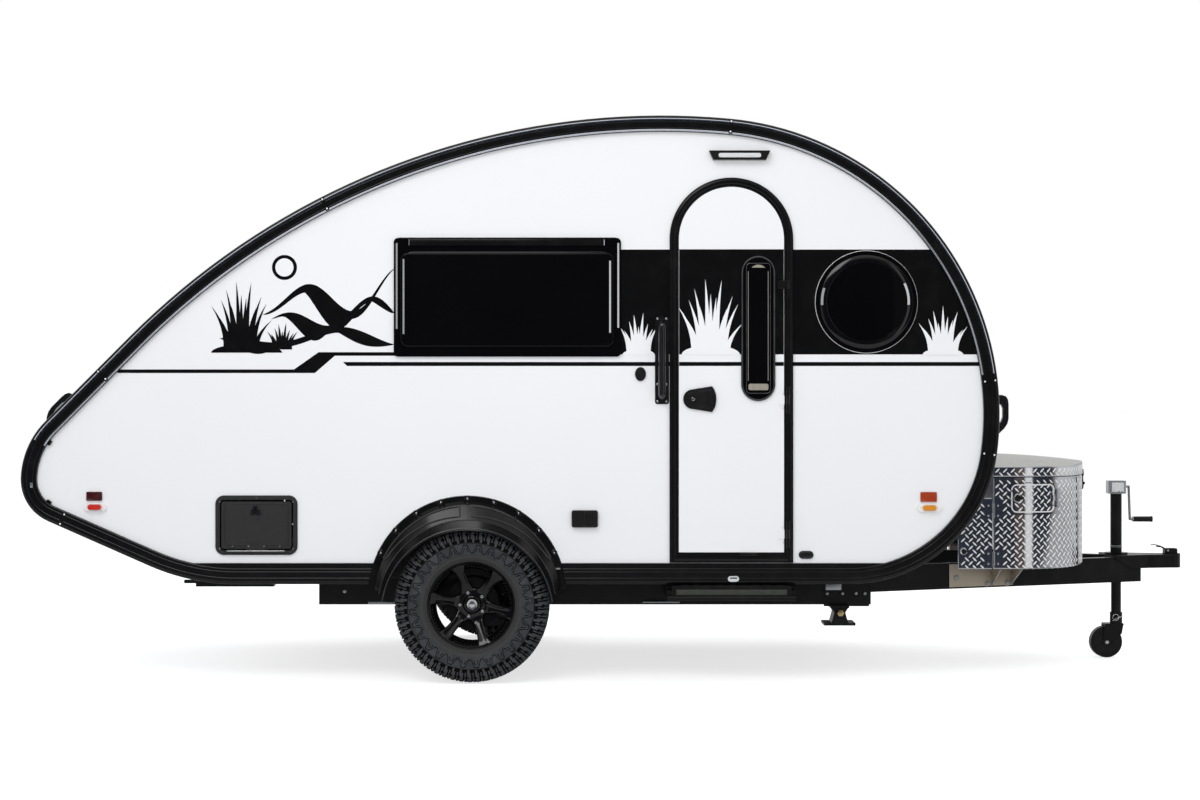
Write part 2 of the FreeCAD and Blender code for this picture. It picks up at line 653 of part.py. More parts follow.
def make_door():
    frame_face = WALL_OUTER_Y + DOOR_FRAME_PROUD
    inner = DOOR_FRAME_RADIUS - DOOR_FRAME_BAND
    opening_bottom = DOOR_BOTTOM_Z + DOOR_FRAME_FOOT
    flange = arched_plate(DOOR_FRAME_RADIUS, DOOR_BOTTOM_Z, WALL_OUTER_Y, frame_face)
    lining = arched_plate(inner + DOOR_LINING, DOOR_BOTTOM_Z, WALL_INNER_Y, frame_face)
    hole = arched_plate(inner, opening_bottom, WALL_INNER_Y - 5, frame_face + 5)
    frame = fuse([flange, lining]).cut(hole)

    leaf_face = WALL_OUTER_Y + DOOR_PROUD
    leaf_back = leaf_face - DOOR_THICKNESS
    leaf_radius = inner - DOOR_GAP
    leaf = arched_plate(leaf_radius, opening_bottom + DOOR_GAP - 1.5, leaf_back, leaf_face)

    window_z = (DOOR_WINDOW_TOP_Z + DOOR_WINDOW_BOTTOM_Z) / 2
    window_height = DOOR_WINDOW_TOP_Z - DOOR_WINDOW_BOTTOM_Z
    lap = 24
    leaf = leaf.cut(side_plate(RIGHT, DOOR_WINDOW_X, window_z, DOOR_WINDOW_WIDTH - 2 * lap,
                               window_height - 2 * lap, DOOR_WINDOW_WIDTH / 2 - lap - 0.5,
                               leaf_back - 5, leaf_face + 5))
    pane = side_plate(RIGHT, DOOR_WINDOW_X, window_z, DOOR_WINDOW_WIDTH, window_height,
                      DOOR_WINDOW_WIDTH / 2 - 0.5, leaf_face + FIT, leaf_face + 9)
    field = side_plate(RIGHT, DOOR_WINDOW_X, window_z, 104, window_height - 54, 51.5,
                       leaf_face + FIT, leaf_face + 17)

    axis_x = DOOR_X + leaf_radius + 18.5
    axis_y = -(frame_face + 10)
    barrel = 9
    for z in DOOR_HINGES_Z:
        low = z - DOOR_HINGE_LENGTH / 2
        high = z + DOOR_HINGE_LENGTH / 2
        still_arm = box(axis_x - 8, axis_x + 8, axis_y, -(frame_face - 1), low, high)
        moving_arm = box(axis_x - 46, axis_x, -leaf_face + 1, -(leaf_face + 5), low, high)
        still, moving = hinge(V(axis_x, axis_y, z), Z_AXIS, DOOR_HINGE_LENGTH, barrel, 4.5,
                              still_arm, moving_arm)
        frame = frame.fuse(still)
        leaf = leaf.fuse(moving)
    keep("door_frame", frame.removeSplitter())
    keep("door_leaf", leaf.removeSplitter())
    keep("door_window", fuse([pane, field]))

    keep("door_handle", make_handle(leaf_face + FIT))
    return axis_x, axis_y


# ================================================================ service hatches
def make_hatch(side):
    frame_face = WALL_OUTER_Y + HATCH_PROUD
    frame = fuse([hatch_plate(side, 0, WALL_OUTER_Y, frame_face),
                  hatch_plate(side, 10, WALL_INNER_Y, frame_face)])
    frame = frame.cut(hatch_plate(side, HATCH_FRAME_BAND, WALL_INNER_Y - 5, frame_face + 5))
    leaf = hatch_plate(side, HATCH_FRAME_BAND + HATCH_GAP, frame_face - HATCH_THICKNESS, frame_face)
    bottom = HATCH_Z - HATCH_FRAME_HEIGHT / 2 + HATCH_FRAME_BAND + HATCH_GAP
    axis = V(HATCH_X, side * (frame_face + 8), bottom - 12)
    half = HATCH_HINGE_LENGTH / 2
    still_arm = box(HATCH_X - half, HATCH_X + half, side * (frame_face - 1), axis.y,
                    axis.z - 5, axis.z + 5)
    moving_arm = box(HATCH_X - half, HATCH_X + half, side * (frame_face + 0.5), side * (frame_face + 4),
                     axis.z, bottom + 22)
    moving_arm = moving_arm.fuse(box(HATCH_X - half, HATCH_X + half, side * (frame_face - 1),
                                     side * (frame_face + 4), bottom + 1, bottom + 22))
    still, moving = hinge(axis, X_AXIS, HATCH_HINGE_LENGTH, 7, 3, still_arm, moving_arm)
    return frame.fuse(still).removeSplitter(), leaf.fuse(moving).removeSplitter()


# ================================================================ lamps
# node; place behind and above the outline's start; width, height; seat and front out of the wall
LAMP_BASE = 12
SIDE_LAMPS = [
    ("red_lenses", 3493.5, 407, 71, 40, FIT, 8),
    ("red_lenses", 3488.5, 357.5, 62, 24, LAMP_BASE + FIT, 26),
    ("amber_lenses", -369.5, 404, 74, 44, FIT, 8),
    ("amber_lenses", -371.5, 354, 62, 24, LAMP_BASE + FIT, 26),
    ("lamp_bases", 3488.5, 357.5, 106, 37, FIT, LAMP_BASE),
    ("lamp_bases", -371.5, 354, 111, 40, FIT, LAMP_BASE),
]
TAIL_LAMP_HEADINGS = (247, 263)
TAIL_LAMP_Y = WALL_INNER_Y - 255
TAIL_LAMP_RADIUS = 52


def make_lamps():
    nodes = {"red_lenses": [], "amber_lenses": [], "lamp_bases": []}
    for side in (RIGHT, LEFT):
        for node, back, up, width, height, seat, front in SIDE_LAMPS:
            nodes[node].append(side_plate(side, OUTLINE_START_X - back, OUTLINE_BOTTOM_Z + up, width, height,
                                          height / 2 - 0.5, WALL_OUTER_Y + seat, WALL_OUTER_Y + front))
        for heading in TAIL_LAMP_HEADINGS:
            point, normal = outline_point(heading, SKIN_INSET)
            point = V(point.x, side * TAIL_LAMP_Y, point.z)
            lamp = rod(point - normal * 12, point + normal * (SKIN_INSET - 2), TAIL_LAMP_RADIUS)
            lamp = lamp.cut(outline_slab(SKIN_INSET - FIT, -WALL_INNER_Y, WALL_INNER_Y))
            nodes["red_lenses"].append(lamp)
    for node, shapes in nodes.items():
        keep(node, shapes)


PORCH_X = DOOR_X + 37.5
PORCH_BOTTOM_Z = DOOR_ARCH_Z + DOOR_FRAME_RADIUS + 81
PORCH_HEIGHT = 42
PORCH_WIDTH = 282
PORCH_TAPER = 19
PORCH_PROUD = 34


def make_porch_light():
    y = -(WALL_OUTER_Y + FIT)
    left = PORCH_X - PORCH_WIDTH / 2
    right = PORCH_X + PORCH_WIDTH / 2
    top = PORCH_BOTTOM_Z + PORCH_HEIGHT
    points = [V(left, y, top), V(right, y, top), V(right - PORCH_TAPER, y, PORCH_BOTTOM_Z),
              V(left + PORCH_TAPER, y, PORCH_BOTTOM_Z)]
    keep("porch_light", polygon_prism(points, V(0, -PORCH_PROUD, 0)))


# ================================================================ handles and small outside pieces
def bent_bar(points, radius):
    """Round bar through points: straight runs with ball corners."""
    pieces = []
    for a, b in zip(points, points[1:]):
        pieces.append(rod(a, b, radius))
    for p in points[1:-1]:
        pieces.append(Part.makeSphere(radius, p))
    return fuse(pieces)


GRAB_DOOR_GAP = 2.5
GRAB_PLATE_WIDTH = 65
GRAB_X = DOOR_X - DOOR_FRAME_RADIUS - GRAB_DOOR_GAP - GRAB_PLATE_WIDTH / 2
GRAB_Z = DOOR_BOTTOM_Z + 935
GRAB_LENGTH = 403
GRAB_PLATE = 7
GRAB_PLATE_ROUND = 12
GRAB_STAND = 48
GRAB_RADIUS = 18
OUTLET_X = OUTLINE_START_X - 1222.5
OUTLET_Z = OUTLINE_BOTTOM_Z + 303
OUTLET_WIDTH = 122
OUTLET_HEIGHT = 79
OUTLET_PROUD = 20
# heading of the outline, slide back along it, reach out of the skin, way the blunt end points
CORNER_HANDLES = [(90, 0, 84, 1), (225.2, 54, 66, -1)]
# share of the reach, distance towards the blunt end
HANDLE_OUTSIDE = [(-0.24, 91), (0.62, 91), (0.86, 84), (0.97, 68), (1, 48), (1, -20), (0.93, -45),
                  (0.75, -68), (0.4, -96), (-0.24, -128)]
HANDLE_OPENING = [(-0.3, 50), (0.46, 50), (0.6, 43), (0.68, 28), (0.68, -12), (0.6, -32), (0.4, -53),
                  (-0.3, -95)]


def make_handles():
    shapes = []
    for side in (RIGHT, LEFT):
        for heading, slide, reach, blunt in CORNER_HANDLES:
            point, normal = outline_point(heading, SKIN_INSET)
            along = normal.cross(Y_AXIS)
            inner = V(point.x, side * HANDLE_BAR_Y - HANDLE_WIDTH / 2, point.z) - along * slide
            width = V(0, HANDLE_WIDTH, 0)

            def strap(table):
                points = [inner + normal * (share * reach) + along * (blunt * run) for share, run in table]
                return polygon_prism(points, width)

            loop = strap(HANDLE_OUTSIDE).cut(strap(HANDLE_OPENING))
            shapes.append(loop.cut(outline_slab(SKIN_INSET - FIT, -WALL_INNER_Y, WALL_INNER_Y)))
    keep("corner_handles", shapes)


def make_grab_bar():
    plate = side_plate(RIGHT, GRAB_X, GRAB_Z, GRAB_PLATE_WIDTH, GRAB_LENGTH, GRAB_PLATE_ROUND,
                       WALL_OUTER_Y + FIT, WALL_OUTER_Y + GRAB_PLATE)
    foot = -(WALL_OUTER_Y + GRAB_PLATE / 2)
    grip = -(WALL_OUTER_Y + GRAB_STAND)
    half = GRAB_LENGTH / 2 - 35
    low = GRAB_Z - half
    high = GRAB_Z + half
    points = [V(GRAB_X, foot, high), V(GRAB_X, grip, high - 10),
              V(GRAB_X, grip, low + 10), V(GRAB_X, foot, low)]
    bar = bent_bar(points, GRAB_RADIUS)
    bar = bar.cut(box(-REACH, REACH, 0, -(WALL_OUTER_Y + FIT), 0, REACH))
    keep("grab_bar", fuse([plate, bar]))


def make_outlet():
    keep("outlet_box", side_plate(RIGHT, OUTLET_X, OUTLET_Z, OUTLET_WIDTH, OUTLET_HEIGHT, 10,
                                  WALL_OUTER_Y + FIT, WALL_OUTER_Y + OUTLET_PROUD))


def make_vent():
    half = VENT_SIZE / 2
    crown, _ = outline_point(180, 0)
    top = crown.z + VENT_BASE_RISE
    base = box(VENT_X - half, VENT_X + half, -half, half, top - 80, top)
    base = base.cut(outline_slab(SKIN_INSET - FIT, -WALL_INNER_Y, WALL_INNER_Y))
    barrel = 7
    axis = V(VENT_X + half + 9, 0, top + 2)
    lid = round_plate(V(VENT_X, 0, top + 1), Y_AXIS, X_AXIS, Z_AXIS, VENT_SIZE - 14,
                      VENT_SIZE - 14, 40, VENT_LID_THICKNESS)
    still_arm = box(VENT_X + half - 2, axis.x, -60, 60, axis.z - 24, axis.z)
    moving_arm = box(VENT_X + half - 30, axis.x, -60, 60, top + 3, top + 9)
    still, moving = hinge(axis, Y_AXIS, 120, barrel, 3, still_arm, moving_arm)
    still = still.cut(outline_slab(SKIN_INSET - FIT, -WALL_INNER_Y, WALL_INNER_Y))
    keep("vent_base", base.fuse(still).removeSplitter())
    keep("vent_lid", lid.fuse(moving).removeSplitter())


# ================================================================ chassis
RAIL_TOP_Z = OUTLINE_BOTTOM_Z + SKIN_INSET
RAIL_BOTTOM_Z = RAIL_TOP_Z - RAIL_HEIGHT
RAIL_INNER_Y = RAIL_Y - RAIL_WIDTH / 2
RAIL_OUTER_Y = RAIL_Y + RAIL_WIDTH / 2


def channel(x0, x1, side):
    """Main rail: a channel with its open side inwards."""
    full = box(x0, x1, side * RAIL_INNER_Y, side * RAIL_OUTER_Y, RAIL_BOTTOM_Z, RAIL_TOP_Z)
    core = box(x0 - 1, x1 + 1, side * (RAIL_INNER_Y - 1), side * (RAIL_OUTER_Y - RAIL_WALL),
               RAIL_BOTTOM_Z + RAIL_WALL, RAIL_TOP_Z - RAIL_WALL)
    return full.cut(core)


def tongue_rail(side, grow):
    a = math.radians(TONGUE_SLOPE)
    length = (TONGUE_END_X - RAIL_FRONT_X + CROSS_WIDTH) / math.cos(a)
    direction = V(-math.cos(a), side * math.sin(a), 0)
    across = V(math.sin(a), side * math.cos(a), 0)
    end = V(TONGUE_END_X, side * TONGUE_END_Y, TONGUE_BOTTOM_Z - grow)
    half = across * (TONGUE_WIDTH / 2 + grow)
    reach = direction * (length + 2 * grow)
    front = end - direction * grow
    points = [front - half, front + half, front + half + reach, front - half + reach]
    return polygon_prism(points, V(0, 0, TONGUE_HEIGHT + 2 * grow))


MIDDLE_CROSS_SETBACK = 1049
CROSS_MEMBERS_X = (RAIL_REAR_X + 74, RAIL_FRONT_X - MIDDLE_CROSS_SETBACK, RAIL_FRONT_X - CROSS_WIDTH / 2)


def make_frame():
    keep("frame_rails", both(lambda s: channel(RAIL_REAR_X, RAIL_FRONT_X, s)))
    cross = []
    for x in CROSS_MEMBERS_X:
        outer = box(x - CROSS_WIDTH / 2, x + CROSS_WIDTH / 2, -RAIL_INNER_Y, RAIL_INNER_Y,
                    RAIL_BOTTOM_Z + 20, RAIL_TOP_Z)
        inner = box(x - CROSS_WIDTH / 2 + 5, x + CROSS_WIDTH / 2 - 5, -RAIL_INNER_Y, RAIL_INNER_Y,
                    RAIL_BOTTOM_Z + 25, RAIL_TOP_Z - 5)
        cross.append(outer.cut(inner))
    nose = outline_slab(-NOSE_GAP, -TRIM_Y - 5, TRIM_Y + 5)
    behind = box(-REACH, RAIL_FRONT_X, -REACH, REACH, 0, REACH)
    rails = both(lambda s: tongue_rail(s, 0).cut(nose).cut(behind))
    keep("cross_members", cross)
    keep("tongue_rails", rails)


def make_axle():
    beam_x = WHEEL_X + AXLE_AHEAD
    top = RAIL_BOTTOM_Z
    half = AXLE_SIZE / 2
    arm_out = TUB_INNER_Y + TUB_WALL + 8
    pieces = [box(beam_x - half, beam_x + half, -arm_out, arm_out, top - AXLE_SIZE, top)]
    for side in (RIGHT, LEFT):
        y0 = side * arm_out
        y1 = side * (arm_out + ARM_THICKNESS)
        low = V(beam_x, y0, top - half)
        hub = V(WHEEL_X, y0, WHEEL_Z)
        line = (hub - low).normalize()
        up = V(-line.z, 0, line.x) * (ARM_HEIGHT / 2)
        arm = polygon_prism([low + up, low - up, hub - up, hub + up], V(0, y1 - y0, 0))
        ends = [rod(p, V(p.x, y1, p.z), ARM_HEIGHT / 2) for p in (low, hub)]
        spindle = rod(hub, V(WHEEL_X, side * (WHEEL_MID_Y + SPINDLE_END), WHEEL_Z), SPINDLE_RADIUS)
        plate = rod(V(WHEEL_X, y1, WHEEL_Z), V(WHEEL_X, y1 + side * 5, WHEEL_Z), DRUM_RADIUS - 6)
        pieces += [arm, spindle, plate] + ends
    keep("axle_beam", fuse(pieces))
    return arm_out + ARM_THICKNESS + 5


# ================================================================ wheels
def revolve_profile(side, points):
    """Turn a closed profile of (radius, distance out from the wheel's middle) round the wheel's axis."""
    def at(r, out):
        return V(WHEEL_X + r, side * (WHEEL_MID_Y + out), WHEEL_Z)
    vectors = [at(r, out) for r, out in points]
    face = Part.Face(Part.makePolygon(vectors + [vectors[0]]))
    return face.revolve(V(WHEEL_X, 0, WHEEL_Z), Y_AXIS, 360)


def make_tyre(side):
    half = TYRE_WIDTH / 2
    bead = RIM_WIDTH / 2 - 9
    flange = RIM_FLANGE + 1
    profile = [(RIM_RADIUS + FIT, -bead), (flange, -bead), (flange, -bead - 9), (RIM_RADIUS + 50, -half + 6),
               (RIM_RADIUS + 95, -half), (TYRE_RADIUS - 40, -half + 3), (TYRE_RADIUS - 14, -half + 12),
               (TYRE_RADIUS - 3, -half + 24), (TYRE_RADIUS, -half + 60),
               (TYRE_RADIUS, half - 60), (TYRE_RADIUS - 3, half - 24), (TYRE_RADIUS - 14, half - 12),
               (TYRE_RADIUS - 40, half - 3), (RIM_RADIUS + 95, half), (RIM_RADIUS + 50, half - 6),
               (flange, bead + 9), (flange, bead), (RIM_RADIUS + FIT, bead)]
    return revolve_profile(side, profile)


def make_rim(side, hub_face):
    half = RIM_WIDTH / 2
    inner = RIM_RADIUS - RIM_WALL
    barrel = [(RIM_RADIUS, -half + 8), (RIM_FLANGE, -half + 4), (RIM_FLANGE, -half), (inner, -half),
              (inner - 14, -20), (inner - 14, 30), (inner, half), (RIM_FLANGE, half),
              (RIM_FLANGE, half - 4), (RIM_RADIUS, half - 8)]
    wheel = [revolve_profile(side, barrel)]
    pad_out = hub_face + 14
    disc = [(HUB_RADIUS + 1, hub_face), (HUB_PAD_RADIUS, hub_face), (HUB_PAD_RADIUS, pad_out + 10),
            (HUB_PAD_RADIUS - 12, pad_out + 16), (HUB_RADIUS + 1, pad_out)]
    wheel.append(revolve_profile(side, disc))
    mid = RIM_RADIUS - RIM_WALL - 4
    for i in range(SPOKES):
        angle = math.radians(SPOKE_FIRST_ANGLE + 360 / SPOKES * i)
        along = V(math.cos(angle), 0, math.sin(angle))
        across = V(-math.sin(angle), 0, math.cos(angle))
        centre = V(WHEEL_X, side * WHEEL_MID_Y, WHEEL_Z)
        points = []
        for r, out in ((HUB_PAD_RADIUS - 10, hub_face + 2), (HUB_PAD_RADIUS - 10, pad_out + 14),
                       (mid, half - 10), (mid, half - 34)):
            points.append(centre + V(0, side * out, 0) + along * r - across * (SPOKE_FLARE / 2))
        spoke = polygon_prism(points, across * SPOKE_FLARE)
        plan = []
        for r, width in ((HUB_PAD_RADIUS - 14, SPOKE_WAIST + 8), (mid * 0.55, SPOKE_WAIST),
                         (mid * 0.78, SPOKE_WAIST + 8), (mid + 4, SPOKE_FLARE)):
            plan.append((r, width / 2))
            plan.insert(0, (r, -width / 2))
        outline = [centre + along * r + across * w - V(0, side * half, 0) for r, w in plan]
        wheel.append(spoke.common(polygon_prism(outline, V(0, side * 2 * half, 0))))
    return fuse(wheel)


def make_hub(side, plate_y, hub_face):
    """Brake drum and hub on the spindle, with the wheel's studs."""
    start = plate_y + 2 - WHEEL_MID_Y
    profile = [(SPINDLE_RADIUS + RUN, start + 14), (HUB_RADIUS + 12, start + 14),
               (HUB_RADIUS + 12, hub_face - 12), (DRUM_RADIUS - 9, hub_face - 12), (DRUM_RADIUS - 9, start),
               (DRUM_RADIUS, start), (DRUM_RADIUS, hub_face), (HUB_RADIUS, hub_face),
               (HUB_RADIUS, hub_face + 26), (SPINDLE_RADIUS + RUN, hub_face + 26)]
    return revolve_profile(side, profile)


def wheel_studs(side, hub_face, length, radius):
    studs = []
    for i in range(STUDS):
        angle = math.radians(STUD_FIRST_ANGLE + 360 / STUDS * i)
        centre = V(WHEEL_X + STUD_CIRCLE / 2 * math.cos(angle), 0,
                   WHEEL_Z + STUD_CIRCLE / 2 * math.sin(angle))
        a = V(centre.x, side * (WHEEL_MID_Y + hub_face - 2), centre.z)
        b = V(centre.x, side * (WHEEL_MID_Y + hub_face + length), centre.z)
        studs.append(rod(a, b, radius))
    return studs


def make_wheels(plate_y):
    hub_face = plate_y + 2 + DRUM_LENGTH - WHEEL_MID_Y
    for side, word in ((RIGHT, "right"), (LEFT, "left")):
        studs = wheel_studs(side, hub_face, STUD_LENGTH, STUD_RADIUS)
        keep("hub_" + word, fuse([make_hub(side, plate_y, hub_face)] + studs))
        rim = make_rim(side, hub_face + FIT)
        holes = wheel_studs(side, hub_face, STUD_LENGTH + 26, STUD_RADIUS + STUD_PLAY)
        keep("rim_" + word, rim.cut(holes))
        keep("tyre_" + word, make_tyre(side))


# ================================================================ coupler
def make_coupler():
    top = TONGUE_BOTTOM_Z + TONGUE_HEIGHT
    rear_x = 2440
    neck_x = 2640
    slope = math.tan(math.radians(TONGUE_SLOPE))
    over = TONGUE_WIDTH / 2 / math.cos(math.radians(TONGUE_SLOPE)) + 2
    rear_y = TONGUE_END_Y + (TONGUE_END_X - rear_x) * slope + over + COUPLER_PLATE
    front_y = SOCKET_RADIUS
    plate = polygon_prism([V(rear_x, -rear_y, top + FIT), V(neck_x, -front_y - 22, top + FIT),
                           V(BALL_X, -front_y, top + FIT), V(BALL_X, front_y, top + FIT),
                           V(neck_x, front_y + 22, top + FIT), V(rear_x, rear_y, top + FIT)],
                          V(0, 0, COUPLER_PLATE))
    neck = box(TONGUE_END_X + 6, BALL_X, -front_y + 6, front_y - 6, COUPLER_BOTTOM_Z, top + COUPLER_PLATE)
    socket = rod(V(BALL_X, 0, COUPLER_BOTTOM_Z), V(BALL_X, 0, COUPLER_TOP_Z), SOCKET_RADIUS)
    latch = box(BALL_X - 38, BALL_X + 26, -22, 22, COUPLER_TOP_Z - 2, LATCH_TOP_Z)
    edges = [e for e in latch.Edges if all(abs(v.Z - LATCH_TOP_Z) < 0.01 for v in e.Vertexes)]
    latch = latch.makeFillet(7, edges)
    skirts = []
    for side in (RIGHT, LEFT):
        def edge(x):
            share = (x - rear_x) / (neck_x - rear_x)
            return side * (rear_y + (front_y + 22 - rear_y) * share - COUPLER_PLATE)
        points = [V(rear_x + 10, edge(rear_x + 10), top + FIT), V(neck_x, edge(neck_x), top + FIT),
                  V(neck_x, edge(neck_x), COUPLER_BOTTOM_Z),
                  V(neck_x - 90, edge(neck_x - 90), COUPLER_BOTTOM_Z)]
        skirts.append(polygon_prism(points, V(0, side * (COUPLER_PLATE - 1), 0)))
    bore = rod(V(BALL_X, 0, COUPLER_BOTTOM_Z - 1), V(BALL_X, 0, COUPLER_BOTTOM_Z + BALL_DEPTH), BALL_RADIUS)
    jack_hole = rod(V(JACK_X, 0, 300), V(JACK_X, 0, 900), JACK_TUBE_RADIUS + FIT)
    body = fuse([plate, neck, socket, latch] + skirts).cut([bore, jack_hole])
    keep("coupler", body)


# ================================================================ tongue jack
def make_jack():
    top = TONGUE_BOTTOM_Z + TONGUE_HEIGHT + FIT + COUPLER_PLATE
    outer = tube(V(JACK_X, 0, JACK_TUBE_BOTTOM_Z), V(JACK_X, 0, JACK_HEAD_Z), JACK_TUBE_RADIUS,
                 JACK_TUBE_RADIUS - JACK_TUBE_WALL)
    flange = tube(V(JACK_X, 0, top + FIT), V(JACK_X, 0, top + 9), 58, JACK_TUBE_RADIUS - 1)
    keep("jack_tube", fuse([outer, flange]))
    head = round_plate(V(JACK_X, 0, JACK_HEAD_Z + FIT), X_AXIS, Y_AXIS, Z_AXIS, 92, 74, 12, JACK_HEAD_HEIGHT)
    keep("jack_head", head)
    z = JACK_HEAD_Z + 36
    crank_x = JACK_X + 46 + FIT
    rod_points = [V(crank_x, 0, z), V(crank_x + 18, 0, z), V(crank_x + 24, 0, JACK_HEAD_Z - 130),
                  V(crank_x + 40, 0, JACK_HEAD_Z - 130)]
    grip = rod(V(crank_x + 36, 0, JACK_HEAD_Z - 130), V(crank_x + 134, 0, JACK_HEAD_Z - 130), CRANK_GRIP)
    keep("jack_crank", fuse([bent_bar(rod_points, CRANK_ROD), grip]))

    fork_top = 2 * CASTER_RADIUS + CASTER_CLEARANCE + 8
    leg_bottom = fork_top + FIT
    keep("jack_leg", rod(V(JACK_X, 0, leg_bottom), V(JACK_X, 0, JACK_LEG_TOP_Z), JACK_LEG_RADIUS))

    wheel_x = JACK_X - CASTER_TRAIL
    half = CASTER_WIDTH / 2 + CASTER_CLEARANCE
    sleeve = tube(V(JACK_X, 0, fork_top), V(JACK_X, 0, fork_top + 56), JACK_LEG_RADIUS + 6,
                  JACK_LEG_RADIUS + RUN)
    crown = box(wheel_x - 12, JACK_X + JACK_LEG_RADIUS + 6, -half - FORK_PLATE, half + FORK_PLATE,
                fork_top - 8, fork_top)
    pieces = [sleeve, crown]
    for side in (RIGHT, LEFT):
        y = side * half
        points = [V(wheel_x - 12, y, fork_top), V(wheel_x - 20, y, CASTER_RADIUS - 10),
                  V(wheel_x + 16, y, CASTER_RADIUS - 18), V(JACK_X + 22, y, fork_top - 50),
                  V(JACK_X + JACK_LEG_RADIUS + 6, y, fork_top)]
        pieces.append(polygon_prism(points, V(0, side * FORK_PLATE, 0)))
    bolt = rod(V(wheel_x, -half - FORK_PLATE - 7, CASTER_RADIUS),
               V(wheel_x, half + FORK_PLATE + 7, CASTER_RADIUS),
               CASTER_BOLT)
    keep("caster_fork", fuse(pieces + [bolt]))
    caster = rod(V(wheel_x, -CASTER_WIDTH / 2, CASTER_RADIUS), V(wheel_x, CASTER_WIDTH / 2, CASTER_RADIUS),
                 CASTER_RADIUS)
    hub = rod(V(wheel_x, -half + 1, CASTER_RADIUS), V(wheel_x, half - 1, CASTER_RADIUS), 18)
    bore = rod(V(wheel_x, -half - 1, CASTER_RADIUS), V(wheel_x, half + 1, CASTER_RADIUS), CASTER_BOLT + RUN)
    keep("caster_wheel", fuse([caster, hub]).cut(bore))


# ================================================================ stabilisers
SCISSORS_X = RAIL_FRONT_X - 154
SCISSORS_TOP = 40              # half width at the head and at the foot
SCISSORS_WAIST = 26
SCISSORS_WAIST_DROP = 32
SCISSORS_DROP = 84
STEADY_X = RAIL_REAR_X - 446
STEADY_Z = OUTLINE_BOTTOM_Z - 22


def make_scissors(side):
    """Screw jack folded under the front of a main rail, its socket facing outwards."""
    x = SCISSORS_X
    y0 = side * (RAIL_INNER_Y + 5)
    y1 = side * (RAIL_OUTER_Y + 60)
    plate = box(x - 70, RAIL_FRONT_X - 9, side * RAIL_OUTER_Y, side * (RAIL_OUTER_Y + 6),
                RAIL_BOTTOM_Z - 8, RAIL_TOP_Z - 20)
    head = box(x - 44, x + 44, y0, y1, RAIL_BOTTOM_Z - 12, RAIL_BOTTOM_Z)
    waist_z = RAIL_BOTTOM_Z - SCISSORS_WAIST_DROP
    foot_z = RAIL_BOTTOM_Z - SCISSORS_DROP
    points = [V(x - SCISSORS_TOP, y0, RAIL_BOTTOM_Z - 10), V(x - SCISSORS_WAIST, y0, waist_z),
              V(x - SCISSORS_TOP, y0, foot_z), V(x + SCISSORS_TOP, y0, foot_z),
              V(x + SCISSORS_WAIST, y0, waist_z), V(x + SCISSORS_TOP, y0, RAIL_BOTTOM_Z - 10)]
    arms = polygon_prism(points, V(0, y1 - y0, 0))
    foot = box(x - 74, x + 74, y0 - side * 30, y1, foot_z - 10, foot_z + 2)
    screw = rod(V(x, y1 - side * 5, waist_z), V(x, y1 + side * 26, waist_z), 15)
    return fuse([plate, head, arms, foot, screw])


def make_steady(side):
    """Drop leg folded flat under the tail, with its screw along the trailer."""
    y = side * RAIL_Y
    x = STEADY_X
    z = STEADY_Z
    bracket = box(x - 90, x + 90, y - 42, y + 42, z - 4, z + 84)
    leg = box(x - 140, x + 230, y - 30, y + 30, z - 12, z + 12)
    nut = box(x - 114, x - 86, y - 24, y + 24, z - 12, z + 26)
    screw = rod(V(x - 200, y, z + 10), V(x + 20, y, z + 10), 9)
    body = fuse([bracket, leg, nut, screw])
    return body.cut(outline_slab(SKIN_INSET - FIT, -WALL_INNER_Y, WALL_INNER_Y))


# ================================================================ toolbox
def box_slab(offset, z0, z1, back=0):
    """Toolbox plan, flat back and bowed front, moved outwards by offset at its sides and
    front and by back at its back, between two heights."""
    a = math.radians(BOX_CORNER_SWEEP)
    length = BOX_FRONT_X - BOX_REAR_X
    bow = (BOX_HALF_WIDTH - BOX_CORNER_RADIUS * (1 - math.cos(a))) / math.cos(a)
    straight = length - BOX_CORNER_RADIUS * math.sin(a) - bow * (1 - math.sin(a))
    spare = 60
    table = [("line", straight + spare, 0), ("arc", BOX_CORNER_RADIUS, BOX_CORNER_SWEEP),
             ("arc", bow, 2 * (90 - BOX_CORNER_SWEEP)), ("arc", BOX_CORNER_RADIUS, BOX_CORNER_SWEEP),
             ("line", straight + spare, 0)]
    start = (BOX_REAR_X - spare, -BOX_HALF_WIDTH)
    edges = chain(start, 0, table, -offset, lambda x, y: V(x, y, z0))
    y = BOX_HALF_WIDTH + offset
    edges.append(Part.LineSegment(V(start[0], y, z0), V(start[0], -y, z0)).toShape())
    solid = Part.Face(Part.Wire(edges)).extrude(V(0, 0, z1 - z0))
    return solid.common(box(BOX_REAR_X - back, REACH, -REACH, REACH, z0 - 1, z1 + 1))


def crown_slab(offset, drop, back):
    """Toolbox plan below the crowned top, lowered by drop."""
    radius = (BOX_HALF_WIDTH ** 2 + LID_CROWN ** 2) / (2 * LID_CROWN)
    top = LID_EDGE_Z + LID_CROWN - drop
    ball = Part.makeSphere(radius, V(BOX_REAR_X, 0, top - radius))
    return box_slab(offset, BOX_TOP_Z + LID_GAP - drop, LID_EDGE_Z + LID_CROWN + 5, back).common(ball)


def small_hatch_block(grow, offset_in, offset_out):
    band = box_slab(offset_out, SMALL_HATCH_BOTTOM_Z - grow, SMALL_HATCH_TOP_Z + grow)
    band = band.cut(box_slab(offset_in, 0, REACH))
    return band.common(box(SMALL_HATCH_REAR_X - grow, SMALL_HATCH_FRONT_X + grow, -REACH, 0, 0, REACH))


